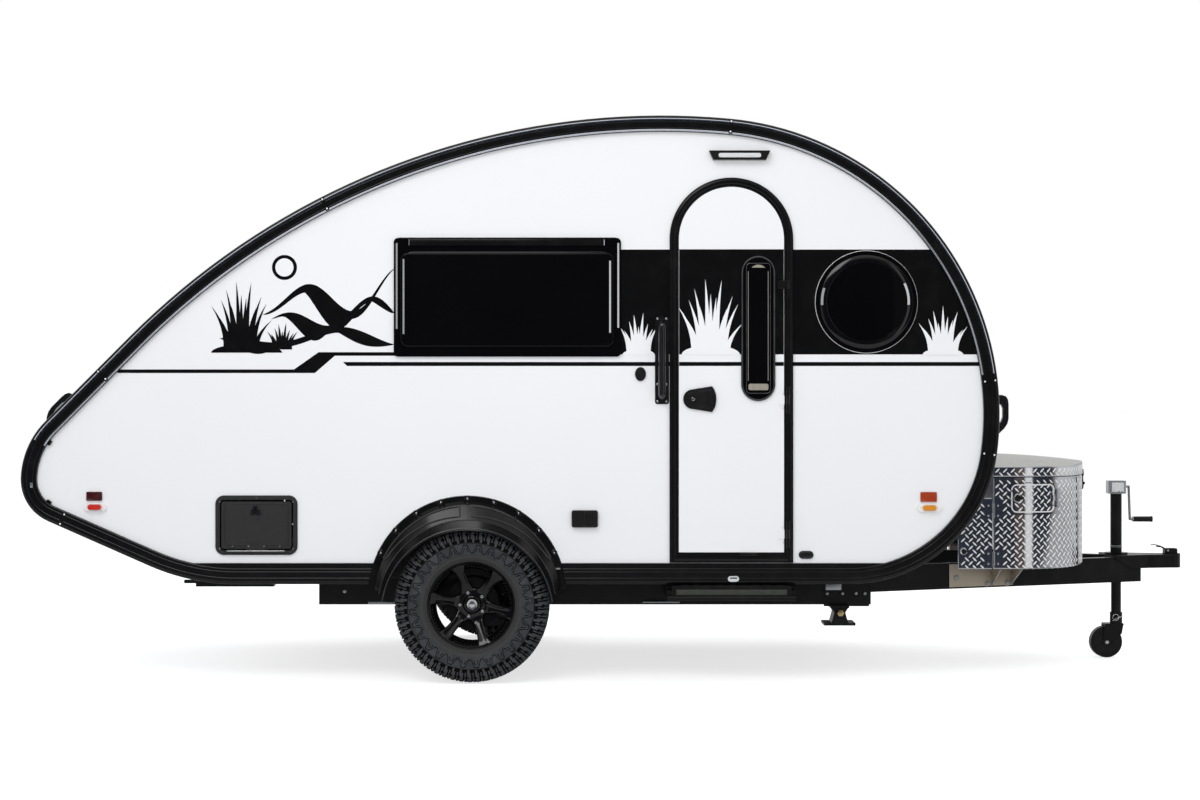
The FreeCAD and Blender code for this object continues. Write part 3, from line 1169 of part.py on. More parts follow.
def make_toolbox():
    walls = box_slab(0, BOX_BOTTOM_Z, BOX_TOP_Z)
    walls = walls.cut(box_slab(-BOX_WALL, BOX_BOTTOM_Z - 1, BOX_TOP_Z + 1, -BOX_WALL))
    floor = box_slab(-BOX_WALL + 1, BOX_FLOOR_Z - BOX_WALL, BOX_FLOOR_Z, -BOX_WALL + 1)
    tub = fuse([walls, floor])
    under = box(-REACH, REACH, -REACH, REACH, 0, BOX_FLOOR_Z - BOX_WALL)
    tub = tub.cut([tongue_rail(s, BRACKET_PLATE + 2).common(under) for s in (RIGHT, LEFT)])
    tub = tub.cut(small_hatch_block(-16, -BOX_WALL - 2, 3))

    lid = crown_slab(2, 0, 0).cut(crown_slab(-BOX_WALL + 2, BOX_WALL - 1, -BOX_WALL))
    axis = V(BOX_REAR_X - LID_HINGE_BARREL, 0, LID_HINGE_Z)
    half = LID_HINGE_LENGTH / 2
    still_arm = box(axis.x - 4, BOX_REAR_X + 1, -half, half, BOX_TOP_Z - 30, BOX_TOP_Z - 3)
    still_arm = still_arm.fuse(box(axis.x - 4, axis.x + 2, -half, half, BOX_TOP_Z - 30, axis.z))
    moving_arm = box(axis.x, BOX_REAR_X + 1, -half, half, axis.z - 5, axis.z + 5)
    still, moving = hinge(axis, Y_AXIS, LID_HINGE_LENGTH, LID_HINGE_BARREL, 3, still_arm, moving_arm)
    tub = tub.fuse(still)
    lid = lid.fuse(moving)

    for side, word in ((RIGHT, "right"), (LEFT, "left")):
        wing = box(WING_REAR_X, BOX_REAR_X - 6, side * (BOX_HALF_WIDTH - BOX_WALL), side * BOX_HALF_WIDTH,
                   BOX_BOTTOM_Z, WING_TOP_Z)
        wing = wing.cut(outline_slab(-WING_BODY_GAP, -TRIM_Y, TRIM_Y))
        axis = V(BOX_REAR_X, side * (BOX_HALF_WIDTH + 8), 0)
        face = side * (BOX_HALF_WIDTH - 1)
        for z in (BOX_BOTTOM_Z + 50, WING_TOP_Z - 60):
            point = V(axis.x, axis.y, z)
            low, high = z - WING_HINGE / 2, z + WING_HINGE / 2
            still_arm = fuse([box(axis.x, axis.x + 34, face, face + side * 5, low, high),
                              box(axis.x - 3, axis.x + 5, face, axis.y, low, high)])
            moving_arm = fuse([box(axis.x - 38, axis.x - 6.5, face, face + side * 5, low, high),
                               box(axis.x - 10, axis.x, face + side * 2, face + side * 6, low, high)])
            still, moving = hinge(point, Z_AXIS, WING_HINGE, 6, 3, still_arm, moving_arm)
            tub = tub.fuse(still)
            wing = wing.fuse(moving)
        keep("toolbox_wing_" + word, wing.removeSplitter())

    door = small_hatch_block(0, 1, 4)
    hinge_x = SMALL_HATCH_FRONT_X + 12
    edge = box_slab(0, BOX_BOTTOM_Z, BOX_TOP_Z).common(box(hinge_x, hinge_x + 0.5, -REACH, 0, 0, REACH))
    hinge_y = edge.BoundBox.YMin - 9
    z = (SMALL_HATCH_BOTTOM_Z + SMALL_HATCH_TOP_Z) / 2
    still_arm = box_slab(7, z - 45, z + 45).cut(box_slab(-1, 0, REACH)).common(
        box(hinge_x - 3, hinge_x + 22, -REACH, 0, 0, REACH))
    moving_arm = box_slab(8, z - 45, z + 45).cut(box_slab(3.5, 0, REACH)).common(
        box(hinge_x - 30, hinge_x, -REACH, 0, 0, REACH))
    still, moving = hinge(V(hinge_x, hinge_y, z), Z_AXIS, 90, 6, 2.5, still_arm, moving_arm)
    tub = tub.fuse(still)
    keep("toolbox_hatch", door.fuse(moving).removeSplitter())
    keep("toolbox_tub", tub.removeSplitter())
    keep("toolbox_lid", lid.removeSplitter())
    return hinge_x, hinge_y


def make_brackets():
    """Plates that carry the toolbox on the tongue rails."""
    shapes = []
    a = math.radians(TONGUE_SLOPE)
    walls = box_slab(0, 0, BOX_TOP_Z).cut(box_slab(-BOX_WALL - FIT, 0, BOX_TOP_Z, -BOX_WALL))
    for side in (RIGHT, LEFT):
        def line_y(x):
            centre = TONGUE_END_Y + (TONGUE_END_X - x) * math.tan(a)
            return side * (centre + (TONGUE_WIDTH / 2 + FIT) / math.cos(a))
        x0 = BOX_REAR_X - 187
        x1 = BRACKET_FRONT_X
        z0 = TONGUE_BOTTOM_Z + 8
        z1 = BOX_FLOOR_Z - BOX_WALL - FIT - BRACKET_PLATE
        step = V(0, side * BRACKET_PLATE, 0)
        plate = polygon_prism([V(x0, line_y(x0), z0), V(x1, line_y(x1), z0), V(x1, line_y(x1), z1),
                               V(x0, line_y(x0), z1)], step)
        shelf_y = side * (BOX_HALF_WIDTH - BOX_WALL - FIT)
        shelf = polygon_prism([V(BOX_REAR_X + 6, line_y(BOX_REAR_X + 6), z1), V(x1, line_y(x1), z1),
                               V(x1, shelf_y, z1), V(BOX_REAR_X + 6, shelf_y, z1)],
                              V(0, 0, BRACKET_PLATE))
        gussets = []
        for x in (BOX_REAR_X + 36, x1 - 10):
            gussets.append(polygon_prism([V(x, line_y(x), z0), V(x, shelf_y, z1), V(x, line_y(x), z1)],
                                         V(4, 0, 0)))
        shapes.append(fuse([plate] + [piece.cut(walls) for piece in [shelf] + gussets]))
    keep("toolbox_brackets", shapes)


# ================================================================ entry step
def make_step():
    half = STEP_WIDTH / 2
    low = STEP_TOP_Z - STEP_THICKNESS
    guides = []
    for side in (-1, 1):
        x_in = STEP_X + side * (half - STEP_GUIDE_WIDTH)
        x_out = STEP_X + side * (half + 6)
        x_slot = STEP_X + side * (half - 20)
        guide = box(x_in, x_out, -(RAIL_OUTER_Y + FIT), -STEP_GUIDE_END_Y, low - 10, STEP_GUIDE_TOP_Z)
        guide = guide.fuse(box(x_in, x_out, -(RAIL_OUTER_Y + FIT), -WALL_INNER_Y + 10, low, RAIL_TOP_Z - FIT))
        slot = box(x_in - side * 1, x_slot + side * 20.5, -(RAIL_OUTER_Y - 5), -STEP_GUIDE_END_Y - 10,
                   low - 0.5, STEP_TOP_Z + 0.5)
        guides.append(guide.cut(slot))
    keep("step_guides", guides)
    board = box(STEP_X - half, STEP_X + half, -(STEP_FRONT_Y - STEP_DEPTH), -(TRIM_Y + 10), low, STEP_TOP_Z)
    nose_y = -(STEP_FRONT_Y - STEP_NOSE)
    nose = rod(V(STEP_X - half, nose_y, low - 10), V(STEP_X + half, nose_y, low - 10), STEP_NOSE)
    lip = box(STEP_X - half + 20, STEP_X + half - 20, nose_y + 2, -(TRIM_Y + 6),
              low - 12, STEP_TOP_Z + 24)
    keep("step_tread", fuse([board, nose, lip]))


# ================================================================ build
def main():
    keep("wall_right", make_wall(RIGHT))
    keep("wall_left", make_wall(LEFT))
    make_shell()
    keep("edge_trim_right", make_trim(RIGHT))
    keep("edge_trim_left", make_trim(LEFT))
    keep("wheel_tub_right", make_tub(RIGHT))
    keep("wheel_tub_left", make_tub(LEFT))
    keep("fender_right", make_fender(RIGHT))
    keep("fender_left", make_fender(LEFT))
    make_windows()
    door_axis = make_door()
    frames = []
    for side, word in ((RIGHT, "right"), (LEFT, "left")):
        frame, leaf = make_hatch(side)
        frames.append(frame)
        keep("hatch_door_" + word, leaf)
    keep("hatch_frames", frames)
    make_lamps()
    make_porch_light()
    make_handles()
    make_grab_bar()
    make_outlet()
    make_vent()
    make_frame()
    plate_y = make_axle()
    make_wheels(plate_y)
    make_coupler()
    make_jack()
    keep("front_scissors", both(make_scissors))
    keep("rear_steadies", both(make_steady))
    small_hatch_axis = make_toolbox()
    make_brackets()
    make_step()

    os.makedirs("parts", exist_ok=True)
    total = Part.makeCompound(list(SHAPES.values()))
    b = total.BoundBox
    print("overall", round(b.XMin, 1), round(b.XMax, 1), round(b.YMin, 1), round(b.YMax, 1),
          round(b.ZMin, 2), round(b.ZMax, 1))
    print("door axis", door_axis, "small hatch axis", small_hatch_axis)
    for name, shape in SHAPES.items():
        if not shape.isValid() or shape.Volume <= 0:
            print("bad shape", name)
        shape.exportStep("parts/" + name + ".step")
    print(len(SHAPES), "nodes,", round(sum(s.Volume for s in SHAPES.values()) / 1e9, 3), "m3")


main()
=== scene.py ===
"""Teardrop trailer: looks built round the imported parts. Sizes are in millimetres until a mesh is made."""
import math

import bmesh
import bpy
from mathutils import Matrix, Vector


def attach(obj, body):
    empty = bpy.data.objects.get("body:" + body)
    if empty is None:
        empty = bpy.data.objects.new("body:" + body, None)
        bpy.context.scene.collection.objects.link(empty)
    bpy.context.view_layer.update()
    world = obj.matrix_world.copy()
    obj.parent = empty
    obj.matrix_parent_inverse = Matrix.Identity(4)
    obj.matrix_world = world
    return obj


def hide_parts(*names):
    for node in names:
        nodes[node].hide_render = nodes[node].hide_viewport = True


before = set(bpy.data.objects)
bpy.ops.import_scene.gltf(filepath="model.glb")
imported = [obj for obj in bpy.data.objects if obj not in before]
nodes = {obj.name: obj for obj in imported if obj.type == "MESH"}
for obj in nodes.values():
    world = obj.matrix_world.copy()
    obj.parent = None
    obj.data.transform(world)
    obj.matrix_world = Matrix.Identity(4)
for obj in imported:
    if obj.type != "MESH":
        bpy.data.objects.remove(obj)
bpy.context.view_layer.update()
MM = 0.001
BEVEL_PROFILE = 0.6
RIGHT = -1
LEFT = 1
SIDES = ((RIGHT, "right"), (LEFT, "left"))
OUT_RIGHT = (0, RIGHT, 0)
UP = (0, 0, 1)

# ---------------------------------------------------------------- sizes shared with the parts
OUTLINE_START = (1013.5, 458.0)
SKIN_INSET = 8.0
BAND_TOP = 2008.0
BAND_LOW = 1522.0
OUTLINE = [("arc", 692, 82.1), ("arc", 1376, 92.7), ("arc", 3473, 50.3), ("line", None, 0),
           ("arc", 390, 43.3), ("arc", 211, 67.8), ("line", 512, 0), ("arc", 1000, 23.8), ("line", None, 0)]
WALL_Y = 985.0
TRIM_Y = 1005.0
WHEEL = (-733.0, 361.0)
WHEEL_MID_Y = 932.5
DOOR_X = 469.5
DOOR_ARCH_Z = 2054.0
DOOR_BOTTOM_Z = 558.5
DOOR_RADIUS = 286.0
DOOR_BAND = 35.5
LEAF_Y = 999.0
FENDER = [(0, -752.5, 408, 436), (45, -751, 392, 430), (78, -749, 350, 412), (95, -748, 322, 391)]
BOX_REAR_X = 1747.0
BOX_FRONT_X = 2295.0
BOX_HALF = 650.0
BOX_CORNER = 380.0
BOX_SWEEP = 62.0
BOX_BOTTOM_Z = 501.0
BOX_TOP_Z = 940.0
LID_EDGE_Z = 992.0
JACK_X = 2494.5
JACK_HEAD_Z = 867.3
PIN_Z = 208
CASTER_X = 2440.5
CASTER_Z = 80


# ---------------------------------------------------------------- shader and geometry graphs
def joined(operation):
    """Method that works a Math node out of a socket and whatever stands beside it."""
    return lambda self, *others: self.graph.math(operation, self, *others)


class Sock:
    """A shader socket that takes part in plain arithmetic."""
    __add__ = __radd__ = joined("ADD")
    __sub__ = joined("SUBTRACT")
    __mul__ = __rmul__ = joined("MULTIPLY")
    __lt__ = joined("LESS_THAN")
    __gt__ = joined("GREATER_THAN")
    __pow__ = joined("POWER")
    __abs__ = joined("ABSOLUTE")
    wave = joined("SINE")
    at_least = joined("MAXIMUM")

    def __init__(self, graph, socket):
        self.graph = graph
        self.socket = socket

    def __rsub__(self, other):
        return self.graph.math("SUBTRACT", other, self)

    def clear(self, low, high, first=0.0, last=1.0):
        """The first value below low, the last value above high, smooth between."""
        return self.graph.node("ShaderNodeMapRange", {"interpolation_type": "SMOOTHSTEP"},
                               {0: self, 1: low, 2: high, 3: first, 4: last})


class Graph:
    """A shader tree whose nodes all come from node(), and whose sockets do arithmetic."""

    def __init__(self, tree):
        self.tree = tree
        tree.nodes.clear()

    def put(self, socket, value):
        if isinstance(value, Sock):
            self.tree.links.new(value.socket, socket)
        elif isinstance(value, tuple) and len(value) == 3 and socket.type == "RGBA":
            socket.default_value = (*value, 1)
        else:
            socket.default_value = value

    def node(self, kind, settings, values, output=0):
        """Make a node with its settings and inputs, and give one of its outputs if it has any."""
        made = self.tree.nodes.new(kind)
        for key, value in settings.items():
            setattr(made, key, value)
        for key, value in values.items():
            self.put(made.inputs[key], value)
        return Sock(self, made.outputs[output]) if made.outputs else None

    def math(self, operation, *values):
        return self.node("ShaderNodeMath", {"operation": operation}, dict(enumerate(values)))

    def axes(self, place):
        parts = self.node("ShaderNodeSeparateXYZ", {}, {0: place}).socket.node
        return [Sock(self, output) for output in parts.outputs]

    def mix(self, share, first, second):
        return self.node("ShaderNodeMix", {"data_type": "RGBA"}, {0: share, 6: first, 7: second}, 2)

    def ramp(self, value, stops):
        """Colour ramp with its stops, pairs of a position and a colour in rising order."""
        made = self.node("ShaderNodeValToRGB", {}, {0: value})
        elements = made.socket.node.color_ramp.elements
        elements[0].position = stops[0][0]
        elements[1].position = stops[-1][0]
        for position, _ in stops[1:-1]:
            elements.new(position)
        for element, (_, colour) in zip(elements, stops):
            element.color = (*colour, 1)
        return made


class Finish(Graph):
    """One material round a Principled shader. Plain keyword values stay on the shader's own sockets."""

    def __init__(self, name, **plain):
        self.material = bpy.data.materials.new(name)
        self.material.use_nodes = True
        super().__init__(self.material.node_tree)
        shader = self.node("ShaderNodeBsdfPrincipled", {}, {})
        self.node("ShaderNodeOutputMaterial", {}, {0: shader})
        self.shader = shader.socket.node
        for key, value in plain.items():
            self.feed(key.replace("_", " ").title().replace("Ior", "IOR"), value)
        self.place = self.node("ShaderNodeTexCoord", {}, {}, "Object")

    def feed(self, name, value):
        self.put(self.shader.inputs[name], value)

    def noise(self, scale, detail=3.0, rough=0.55, stretch=(1, 1, 1)):
        spot = self.node("ShaderNodeMapping", {}, {"Vector": self.place, "Scale": stretch})
        return self.node("ShaderNodeTexNoise", {}, {"Vector": spot, "Scale": scale, "Detail": detail,
                                                    "Roughness": rough})

    def colour(self, value):
        self.feed("Base Color", value)

    def rough(self, value):
        self.feed("Roughness", value)

    def bump(self, height, distance, strength=1.0):
        self.feed("Normal", self.node("ShaderNodeBump", {}, {"Strength": strength, "Distance": distance,
                                                             "Height": height}))


class Repeat:
    """A Geometry Nodes tree that puts one item on every point of a mesh, turned by the point's own turn."""

    def __init__(self):
        group = bpy.data.node_groups.new("repeat_item", "GeometryNodeTree")
        face = group.interface
        face.new_socket("Points", in_out="INPUT", socket_type="NodeSocketGeometry")
        self.item = face.new_socket("Item", in_out="INPUT", socket_type="NodeSocketObject").identifier
        self.finish = face.new_socket("Finish", in_out="INPUT", socket_type="NodeSocketMaterial").identifier
        face.new_socket("Result", in_out="OUTPUT", socket_type="NodeSocketGeometry")
        source, info, turn, rotation, put, real, coat, result = [
            group.nodes.new(kind) for kind in (
                "NodeGroupInput", "GeometryNodeObjectInfo", "GeometryNodeInputNamedAttribute",
                "FunctionNodeEulerToRotation", "GeometryNodeInstanceOnPoints", "GeometryNodeRealizeInstances",
                "GeometryNodeSetMaterial", "NodeGroupOutput")]
        turn.data_type = "FLOAT_VECTOR"
        turn.inputs["Name"].default_value = "turn"
        for output, socket in (
                (source.outputs["Item"], info.inputs["Object"]),
                (source.outputs["Points"], put.inputs["Points"]),
                (info.outputs["Geometry"], put.inputs["Instance"]),
                (turn.outputs["Attribute"], rotation.inputs[0]),
                (rotation.outputs[0], put.inputs["Rotation"]),
                (put.outputs["Instances"], real.inputs["Geometry"]),
                (real.outputs["Geometry"], coat.inputs["Geometry"]),
                (source.outputs["Finish"], coat.inputs["Material"]),
                (coat.outputs["Geometry"], result.inputs[0])):
            group.links.new(output, socket)
        self.group = group

    def make(self, item, places, finish):
        """Plain mesh with the item at every (position in mm, rotation matrix)."""
        mesh = bpy.data.meshes.new("places")
        mesh.from_pydata([Vector(p) * MM for p, _ in places], [], [])
        turns = mesh.attributes.new("turn", "FLOAT_VECTOR", "POINT")
        for i, (_, matrix) in enumerate(places):
            turns.data[i].vector = matrix.to_euler()
        carrier = bpy.data.objects.new("places", mesh)
        model = bpy.data.objects.new("item", item)
        for obj in (carrier, model):
            bpy.context.collection.objects.link(obj)
        modifier = carrier.modifiers.new("repeat", "NODES")
        modifier.node_group = self.group
        modifier[self.item] = model
        modifier[self.finish] = finish.material
        graph = bpy.context.evaluated_depsgraph_get()
        done = bpy.data.meshes.new_from_object(carrier.evaluated_get(graph))
        for obj in (carrier, model):
            bpy.data.objects.remove(obj)
        return done


# ---------------------------------------------------------------- mesh makers
def round_steps(count):
    """Angles in radians all the way round, in even steps."""
    return [2 * math.pi * i / count for i in range(count)]


def turned(out, up=UP):
    """Rotation whose Z looks out and whose Y is as near to up as it can be."""
    z = Vector(out).normalized()
    y = Vector(up)
    y = y - z * y.dot(z)
    if y.length < 1e-6:
        y = Vector((1, 0, 0)) - z * z.x
    y.normalize()
    x = y.cross(z)
    return Matrix((x, y, z)).transposed()


class Shape:
    """Faces gathered for one piece, in millimetres."""

    def __init__(self):
        self.bm = bmesh.new()

    def ring(self, points):
        return [self.bm.verts.new(p) for p in points]

    def skin(self, rings, loop=False):
        """Quads between rings of points. Both ends are capped unless the rings run round in a loop."""
        made = [self.ring(r) for r in rings]
        pairs = list(zip(made, made[1:]))
        if loop:
            pairs.append((made[-1], made[0]))
        for a, b in pairs:
            for i in range(len(a)):
                j = (i + 1) % len(a)
                self.bm.faces.new((a[i], a[j], b[j], b[i]))
        if not loop:
            self.bm.faces.new(list(reversed(made[0])))
            self.bm.faces.new(made[-1])
        return self

    def lathe(self, origin, axis, profile, steps=48, loop=False):
        """Turn (radius, height) pairs round an axis. A loop gives a ring of closed section."""
        m = turned(axis)
        origin = Vector(origin)
        rings = []
        for radius, height in profile:
            rings.append([origin + m @ Vector((radius * math.cos(t), radius * math.sin(t), height))
                          for t in round_steps(steps)])
        return self.skin(rings, loop=loop)

    def disc(self, origin, axis, radius, depth, soft=0.0, steps=32):
        """Round button that stands on origin, with a softened top edge."""
        profile = [(radius, 0), (radius, depth - soft)]
        if soft:
            profile += [(radius - soft * 0.3, depth - soft * 0.3), (radius - soft, depth)]
        return self.lathe(origin, axis, profile, steps)

    def rail(self, points, section, loop=False, flat=UP):
        """Bar of any section along points; the section is given across the bar and out along flat."""
        path = [Vector(p) for p in points]
        rings = []
        count = len(path)
        for i, p in enumerate(path):
            before = path[i - 1] if i or loop else p
            after = path[(i + 1) % count] if i < count - 1 or loop else p
            m = turned(after - before, flat)
            rings.append([p + m @ Vector((across, out, 0)) for across, out in section])
        return self.skin(rings, loop=loop)

    def tube(self, points, radius, steps=10, loop=False, squash=1.0, flat=UP):
        """Round or flattened bar along points."""
        section = [(radius * math.cos(t), radius * squash * math.sin(t)) for t in round_steps(steps)]
        return self.rail(points, section, loop, flat)

    def facet(self, side, x, z0, z1, base, lean, half=4):
        """Upright bevelled strip on a side wall; lean is 1 when it faces the front and -1 the tail."""
        section = [(-half, -1.5), (-half, 0.57 * half), (half, 0), (half, -1.5)]
        outline = [(x + lean * across, side * (WALL_Y + base + out), z0) for across, out in section]
        return self.prism(outline, (0, 0, z1 - z0))

    def prism(self, outline, out, soft=0.0, segments=2):
        """Plate from an outline, grown along out, with its far edge softened."""
        low = self.ring(outline)
        high = self.ring([Vector(p) + Vector(out) for p in outline])
        for i, corner in enumerate(low):
            self.bm.faces.new((low[i - 1], corner, high[i], high[i - 1]))
        self.bm.faces.new(list(reversed(low)))
        top = self.bm.faces.new(high)
        if soft:
            bmesh.ops.bevel(self.bm, geom=list(top.edges), offset=soft, segments=segments, affect="EDGES",
                            profile=BEVEL_PROFILE)
        return self

    def box(self, x0, x1, y0, y1, z0, z1, soft=0.0):
        """Block between pairs of coordinates, every edge softened."""
        made = bmesh.ops.create_cube(self.bm, size=1.0)["verts"]
        for v in made:
            v.co = Vector(((x0 + x1) / 2 + v.co.x * abs(x1 - x0), (y0 + y1) / 2 + v.co.y * abs(y1 - y0),
                           (z0 + z1) / 2 + v.co.z * abs(z1 - z0)))
        if soft:
            edges = list({e for v in made for e in v.link_edges})
            bmesh.ops.bevel(self.bm, geom=edges, offset=soft, segments=2, affect="EDGES",
                            profile=BEVEL_PROFILE)
        return self

    def move(self, matrix):
        for v in self.bm.verts:
            v.co = matrix @ v.co

    def mesh(self, name, angle=35.0):
        """Finished mesh in metres, smooth but for edges sharper than an angle in degrees."""
        bmesh.ops.recalc_face_normals(self.bm, faces=self.bm.faces)
        bmesh.ops.scale(self.bm, vec=(MM, MM, MM), verts=self.bm.verts)
        for f in self.bm.faces:
            f.smooth = True
        mesh = bpy.data.meshes.new(name)
        self.bm.to_mesh(mesh)
        self.bm.free()
        mesh.set_sharp_from_angle(angle=math.radians(angle))
        return mesh


def show(name, mesh, finish, body="trailer", replaces=()):
    """Put a finished mesh in the scene as a piece of one body."""
    if isinstance(mesh, Shape):
        mesh = mesh.mesh(name)
    mesh.materials.clear()
    mesh.materials.append(finish.material)
    for polygon in mesh.polygons:
        polygon.material_index = 0
    obj = bpy.data.objects.new(name, mesh)
    bpy.context.collection.objects.link(obj)
    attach(obj, body)
    if replaces:
        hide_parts(*replaces)


def arc(cx, cy, radius, start, end, steps):
    """Points of an arc between two angles in degrees, both ends included."""
    turns = [math.radians(start + (end - start) * i / steps) for i in range(steps + 1)]
    return [(cx + radius * math.cos(t), cy + radius * math.sin(t)) for t in turns]


def round_rect(cx, cy, width, height, corner, steps=6):
    """Outline of a plate with round corners, anticlockwise."""
    w = width / 2 - corner
    h = height / 2 - corner
    points = []
    for sx, sy, start in ((1, 1, 0), (-1, 1, 90), (-1, -1, 180), (1, -1, 270)):
        points += arc(cx + sx * w, cy + sy * h, corner, start, start + 90, steps)
    return points


def on_wall(side, points, y):
    """Points of X and Z placed on a side of the trailer at a distance from its middle."""
    return [(x, side * y, z) for x, z in points]


def body_line(inset, step=40.0):
    """Points in X and Z, with headings in degrees, along the body's outline moved inwards."""
    x, z = OUTLINE_START
    heading = 0.0
    points = []
    for kind, size, sweep in closed_outline():
        a = math.radians(heading)
        length = size if kind == "line" else size * math.radians(sweep)
        count = max(1, round(length / step))
        if kind == "line":
            for i in range(count):
                d = size * i / count
                points.append((x + d * math.cos(a) - inset * math.sin(a),
                               z + d * math.sin(a) + inset * math.cos(a), heading))
            x += size * math.cos(a)
            z += size * math.sin(a)
            continue
        cx = x - size * math.sin(a)
        cz = z + size * math.cos(a)
        for i in range(count):
            h = heading + sweep * i / count
            b = math.radians(h)
            points.append((cx + (size - inset) * math.sin(b), cz - (size - inset) * math.cos(b), h))
        heading += sweep
        b = math.radians(heading)
        x = cx + size * math.sin(b)
        z = cz - size * math.cos(b)
    return points


def edge_spot(near, inset):
    """Spot of the moved-in outline nearest to a point of X and Z, and the ways along it and inwards."""
    x, z, h = min(body_line(inset, 10), key=lambda p: math.hypot(p[0] - near[0], p[1] - near[1]))
    a = math.radians(h)
    return Vector((x, 0, z)), Vector((math.cos(a), 0, math.sin(a))), Vector((-math.sin(a), 0, math.cos(a)))


def plate_corners(centre, along, across, length, width, corners=((-1, -1), (1, -1), (1, 1), (-1, 1))):
    """Corners of a plate round a centre, half a length and half a width away from it."""
    return [centre + along * (u * length) + across * (w * width) for u, w in corners]


def outline_spot(wanted, inset):
    """Point moved in from the outline where it runs at a heading, the outward normal and the radius there."""
    x, z = OUTLINE_START
    heading = 0.0
    for kind, size, sweep in closed_outline():
        a = math.radians(heading)
        if kind == "line":
            x += size * math.cos(a)
            z += size * math.sin(a)
            continue
        centre = Vector((x - size * math.sin(a), 0, z + size * math.cos(a)))
        if heading <= wanted <= heading + sweep:
            b = math.radians(wanted)
            normal = Vector((math.sin(b), 0, -math.cos(b)))
            return centre + normal * (size - inset), normal, size - inset
        heading += sweep
        b = math.radians(heading)
        x = centre.x + size * math.sin(b)
        z = centre.z - size * math.cos(b)
    raise ValueError("no such heading")


def closed_outline():
    """The outline's table with its two missing line lengths worked out."""
    heading = 0.0
    total = Vector((0, 0))
    unknown = []
    for index, (kind, size, sweep) in enumerate(OUTLINE):
        a = math.radians(heading)
        if kind == "arc":
            b = math.radians(heading + sweep)
            total += Vector((size * (math.sin(b) - math.sin(a)), size * (math.cos(a) - math.cos(b))))
            heading += sweep
        elif size is None:
            unknown.append((index, Vector((math.cos(a), math.sin(a)))))
        else:
            total += Vector((size * math.cos(a), size * math.sin(a)))
    (first, u), (second, w) = unknown
    det = u.x * w.y - u.y * w.x
    lengths = {first: (-total.x * w.y + total.y * w.x) / det, second: (-u.x * total.y + u.y * total.x) / det}
    return [(kind, lengths.get(i, size), sweep) for i, (kind, size, sweep) in enumerate(OUTLINE)]


# ---------------------------------------------------------------- finishes
def glossy_white(name, hinge_x=None):
    """Gel-coat white with a faint unevenness. Past hinge_x, in millimetres, come the black hinge leaves."""
    f = Finish(name, coat_roughness=0.05)
    white = f.mix(f.noise(1.3, 2), (0.806, 0.812, 0.832), (0.834, 0.84, 0.857))
    if hinge_x:
        x, y, z = f.axes(f.place)
        upper_leaf = (y < -(LEAF_Y + 0.5) * MM) * (z > BAND_LOW * MM)
        white = f.mix((x > hinge_x * MM).at_least(upper_leaf), white, (0.004, 0.004, 0.004))
    f.colour(white)
    f.rough(f.noise(7, 3) * 0.06 + 0.27)
    f.feed("Coat Weight", f.noise(4, 2) * 0.1 + 0.25)
    f.bump(f.noise(160, 2), 0.0004, 0.12)
    return f


def coat_surface(f, rough, grain, distance):
    """Uneven sheen and a fine grain, as on paint, plastic or rubber."""
    f.rough(f.noise(24, 4) * 0.12 + (rough - 0.06))
    f.bump(f.noise(grain, 3), distance, 0.4)
    return f


def black_coat(name, level, rough, grain, distance, shine=0.25):
    """Black paint, plastic or rubber with faint dust."""
    f = Finish(name, specular_ior_level=shine)
    dust = f.noise(11, 4).clear(0.45, 0.8)
    f.colour(f.mix(dust, (level, level, level * 1.04), (level * 1.9, level * 1.9, level * 1.95)))
    return coat_surface(f, rough, grain, distance)


def dyed_coat(name, patches, low, high, rough, grain, distance, shine=0.25):
    """Coloured paint, rubber or cloth that runs between two tones; patches are a scale and a detail."""
    f = Finish(name, specular_ior_level=shine)
    f.colour(f.mix(f.noise(*patches), low, high))
    return coat_surface(f, rough, grain, distance)


def leather_grain(name, level):
    """Moulded plastic with a pebbled grain."""
    f = Finish(name, specular_ior_level=0.3)
    cells = f.node("ShaderNodeTexVoronoi", {"feature": "SMOOTH_F1"}, {"Vector": f.place, "Scale": 420.0})
    f.colour(f.mix(cells.clear(0.1, 0.7), (level * 1.25,) * 3, (level * 0.75,) * 3))
    f.rough(f.noise(30, 3) * 0.1 + 0.5)
    f.bump(cells, 0.0006, 0.5)
    return f


def acrylic(name, shine):
    f = Finish(name, specular_ior_level=shine)
    f.colour(f.mix(f.noise(3, 2), (0.0015, 0.0015, 0.002), (0.003, 0.003, 0.0035)))
    f.rough(f.noise(6, 2) * 0.03 + 0.035)
    return f


def lens(name, deep, pale):
    """Ribbed lamp lens."""
    f = Finish(name, coat_weight=0.8, coat_roughness=0.03, transmission_weight=0.15)
    ribs = (f.axes(f.place)[0] * 1600.0).wave()
    f.colour(f.mix(ribs * 0.5 + 0.5, deep, pale))
    f.rough(f.noise(20, 2) * 0.05 + 0.12)
    f.bump(ribs, 0.0006, 0.5)
    return f


def bare_metal(name, colour, rough, grain=(40, 40, 40), worn=0.12, metallic=1.0):
    """Brushed, cast or plated metal: grain stretched along its brushing, with uneven sheen."""
    f = Finish(name, metallic=metallic)
    streak = f.noise(9, 5, 0.6, grain)
    dark = tuple(c * 0.82 for c in colour)
    f.colour(f.mix(streak.clear(0.3, 0.75), dark, colour))
    f.rough(f.noise(14, 4) * worn + rough)
    f.bump(streak, 0.0002, 0.25)
    return f


